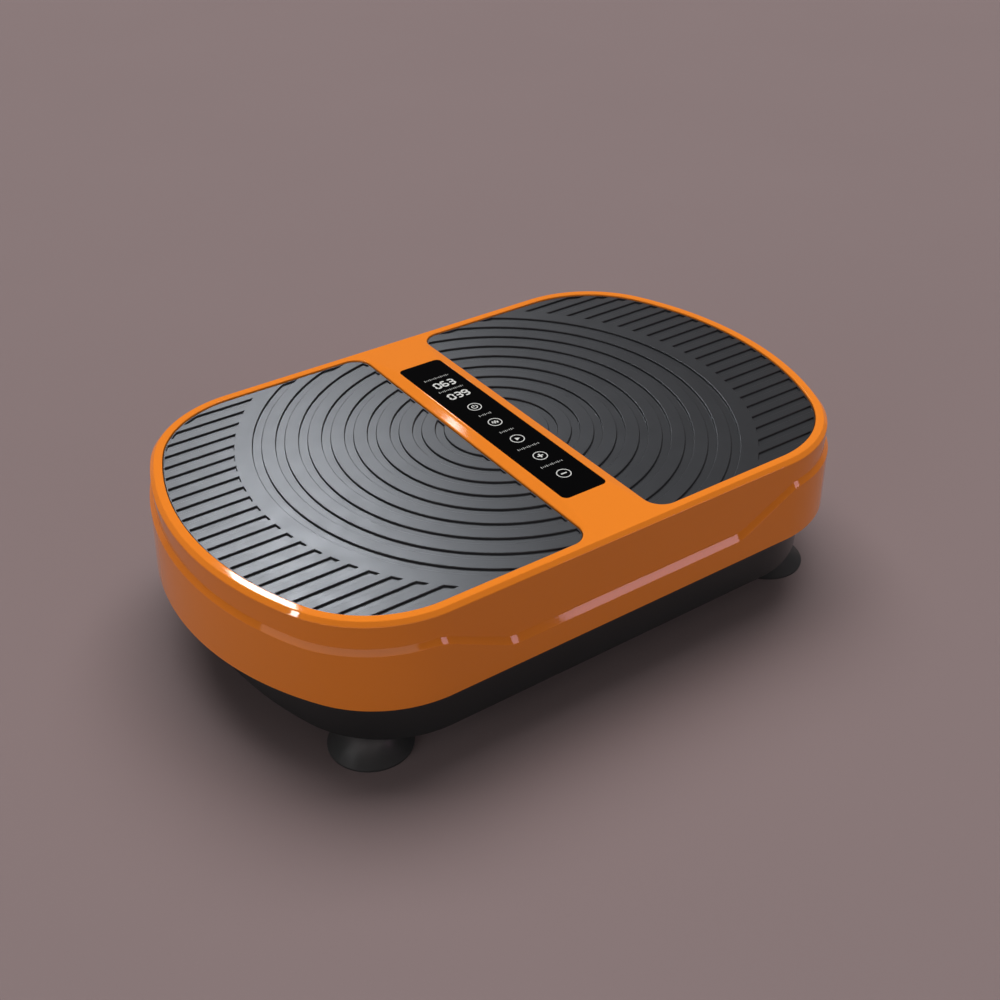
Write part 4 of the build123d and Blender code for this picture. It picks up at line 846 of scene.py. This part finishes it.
def metal(name, colour, roughness, grain):
    """Bare metal with a grain across it; grain is in cycles for each metre."""
    finish = Finish(name, colour, roughness, 1.0)
    finish.vary_colour(finish.noise(grain / 8, 4), 0.08)
    finish.vary_roughness(finish.noise(grain / 4, 4), roughness * 0.3)
    finish.relief(finish.noise(grain, 2, (1, 6, 1)), 0.01)
    return finish.material


def coated(name, colour, roughness, grain, height):
    """A painted, cast or moulded surface whose grain stands height millimetres high."""
    finish = Finish(name, colour, roughness)
    finish.vary_colour(finish.noise(grain / 12, 4), 0.1)
    finish.vary_roughness(finish.noise(grain / 5, 4), roughness * 0.15)
    finish.relief(finish.noise(grain, 2), height)
    return finish.material


def material_for_slot():
    """One material for each of the record's slots."""
    return {
        "orange_gloss": orange_plastic(),
        "black_plastic": black_plastic(),
        "mat_rubber": mat_rubber(),
        "panel_gloss": panel_glass(),
        "foot_rubber": foot_rubber(),
        "steel_plate": metal("steel_plate", (0.50, 0.51, 0.52), 0.38, 500),
        "zinc_steel": metal("zinc_steel", (0.62, 0.63, 0.64), 0.28, 900),
        "ground_steel": metal("ground_steel", (0.56, 0.56, 0.57), 0.18, 700),
        "cast_iron": coated("cast_iron", (0.06, 0.06, 0.063), 0.6, 900, 0.05),
        "aluminium": metal("aluminium", (0.72, 0.73, 0.74), 0.32, 600),
        "bronze": metal("bronze", (0.52, 0.33, 0.15), 0.3, 700),
        "motor_paint": coated("motor_enamel", (0.05, 0.055, 0.06), 0.35, 700, 0.02),
        "belt_rubber": coated("belt_rubber", (0.02, 0.02, 0.021), 0.6, 1500, 0.03),
        "board_green": coated("solder_mask", (0.01, 0.09, 0.035), 0.3, 900, 0.01),
        "contact_brass": metal("contact_brass", (0.68, 0.49, 0.22), 0.22, 900),
    }


def dress(piece, material):
    """Gives a piece one material and no other."""
    piece.data.materials.clear()
    piece.data.materials.append(material)


def dress_frame(materials):
    """Gives every CAD node the material of its slot in the record."""
    for row in frame["record"]["subparts"]:
        dress(frame["nodes"][row["node"]], materials[row["material_slot"]])


# ---------------------------------------------------------------- camera, light and floor
CAMERA_AZIMUTH = -34.94
CAMERA_ELEVATION = 34.36
CAMERA_DISTANCE = 945.3
CAMERA_TARGET = (-53.1, -80.6, RIM_TOP)
LENS = 50.0


def direction(azimuth, elevation):
    """Unit vector from the object towards a place; azimuth 0 is the front, 90 the right."""
    a, e = math.radians(azimuth), math.radians(elevation)
    return Vector((math.sin(a) * math.cos(e), -math.cos(a) * math.cos(e), math.sin(e)))


def make_camera():
    """The photo's camera, as fitted to the object's straight edges."""
    camera = add_object("camera", bpy.data.cameras.new("camera"))
    back = direction(CAMERA_AZIMUTH, CAMERA_ELEVATION)
    camera.location = (Vector(CAMERA_TARGET) + back * CAMERA_DISTANCE) * MM
    camera.rotation_euler = (-back).to_track_quat("-Z", "Y").to_euler()
    camera.data.lens = LENS
    bpy.context.scene.camera = camera


def soft_light(name, azimuth, elevation, distance, size, radiance, touches,
               aim=(0, 0, 100), colour=(1, 1, 1), only=()):
    """A rectangular softbox that faces the object and isn't seen itself; sizes in millimetres.

    It touches either the matt or the gloss part of what it lights. When only holds pieces, it
    lights nothing else.
    """
    light = add_object(name, bpy.data.lights.new(name, "AREA"))
    towards = direction(azimuth, elevation)
    light.location = (Vector(aim) + towards * distance) * MM
    light.rotation_euler = towards.to_track_quat("Z", "Y").to_euler()
    light.data.shape = "RECTANGLE"
    light.data.size, light.data.size_y = size[0] * MM, size[1] * MM
    light.data.energy = radiance * math.pi * light.data.size * light.data.size_y
    light.data.color = colour
    light.visible_camera = False
    light.visible_diffuse = touches == "matt"
    light.visible_glossy = touches == "gloss"
    if only:
        light.light_linking.receiver_collection = bpy.data.collections.new(name + "_lit")
        for piece in only:
            light.light_linking.receiver_collection.objects.link(piece)


def light_scene(mats):
    """Soft studio light from behind, two low fills, and small lamps that only make highlights."""
    world = bpy.data.worlds.new("studio")
    bpy.context.scene.world = world
    world.use_nodes = True
    background = world.node_tree.nodes["Background"]
    background.inputs["Color"].default_value = (1.0, 0.93, 0.92, 1)
    background.inputs["Strength"].default_value = 0.12
    soft_light("key", 150, 66, 15000, (15600, 10200), 5.8, "matt")
    soft_light("front_fill", 35, 12, 4000, (4600, 1400), 1.5, "matt")
    soft_light("left_fill", -80, 12, 4000, (3000, 1400), 3.0, "matt")
    soft_light("mat_sheen", 157.5, 40.3, 8000, (600, 600), 145, "gloss",
               colour=(0.87, 0.92, 1.0), only=mats)
    soft_light("rim_highlight", 157.25, 37.45, 8000, (375, 420), 26, "gloss", aim=(-232, -78, 129))
    soft_light("bridge_highlight", 171.6, 43.3, 8000, (170, 130), 12, "gloss", aim=(-21, 20, 130))
    soft_light("corner_glint", 259.2, 36, 900, (60, 110), 22, "gloss", aim=(-225, -105, 128))
    soft_light("ledge_streak", 38, 23, 8000, (1760, 1120), 3.6, "gloss",
               aim=(20, -160, 84), colour=(1.0, 0.62, 0.82))
    soft_light("ledge_sheen", -45, 28, 4000, (12000, 1500), 0.9, "gloss",
               aim=(0, 0, 84), colour=(1.0, 0.85, 0.85))


def make_floor():
    """A plain pale floor."""
    reach = 5000 * MM
    corners = [(-reach, -reach, 0), (reach, -reach, 0), (reach, reach, 0), (-reach, reach, 0)]
    mesh = bpy.data.meshes.new("floor")
    mesh.from_pydata(corners, [], [(0, 1, 2, 3)])
    floor = add_object("floor", mesh)
    finish = Finish("floor_paper", (0.212, 0.161, 0.161), 0.85)
    finish.vary_colour(finish.noise(3, 3), 0.01)
    finish.relief(finish.noise(900, 2), 0.02)
    dress(floor, finish.material)


# ---------------------------------------------------------------- the scene
def build():
    """Makes the whole scene."""
    materials = material_for_slot()
    dress_frame(materials)
    make_camera()
    make_floor()
    dress(make_upper_casing(), materials["orange_gloss"])
    mats = [make_mat(side, node) for side, node in ((-1, "left_mat"), (1, "right_mat"))]
    for mat in mats:
        dress(mat, materials["mat_rubber"])
    light_scene(mats)
    dress(make_panel(), materials["panel_gloss"])
    make_display()
    make_icons()
    white = printed_ink("printed_white", 0.62)
    for name in ("display_figures", "panel_icons"):
        dress(bpy.data.objects[name], white)
    dress(bpy.data.objects["panel_captions"], printed_ink("printed_grey", 0.42))
    bpy.context.scene.view_settings.view_transform = "Standard"


build()
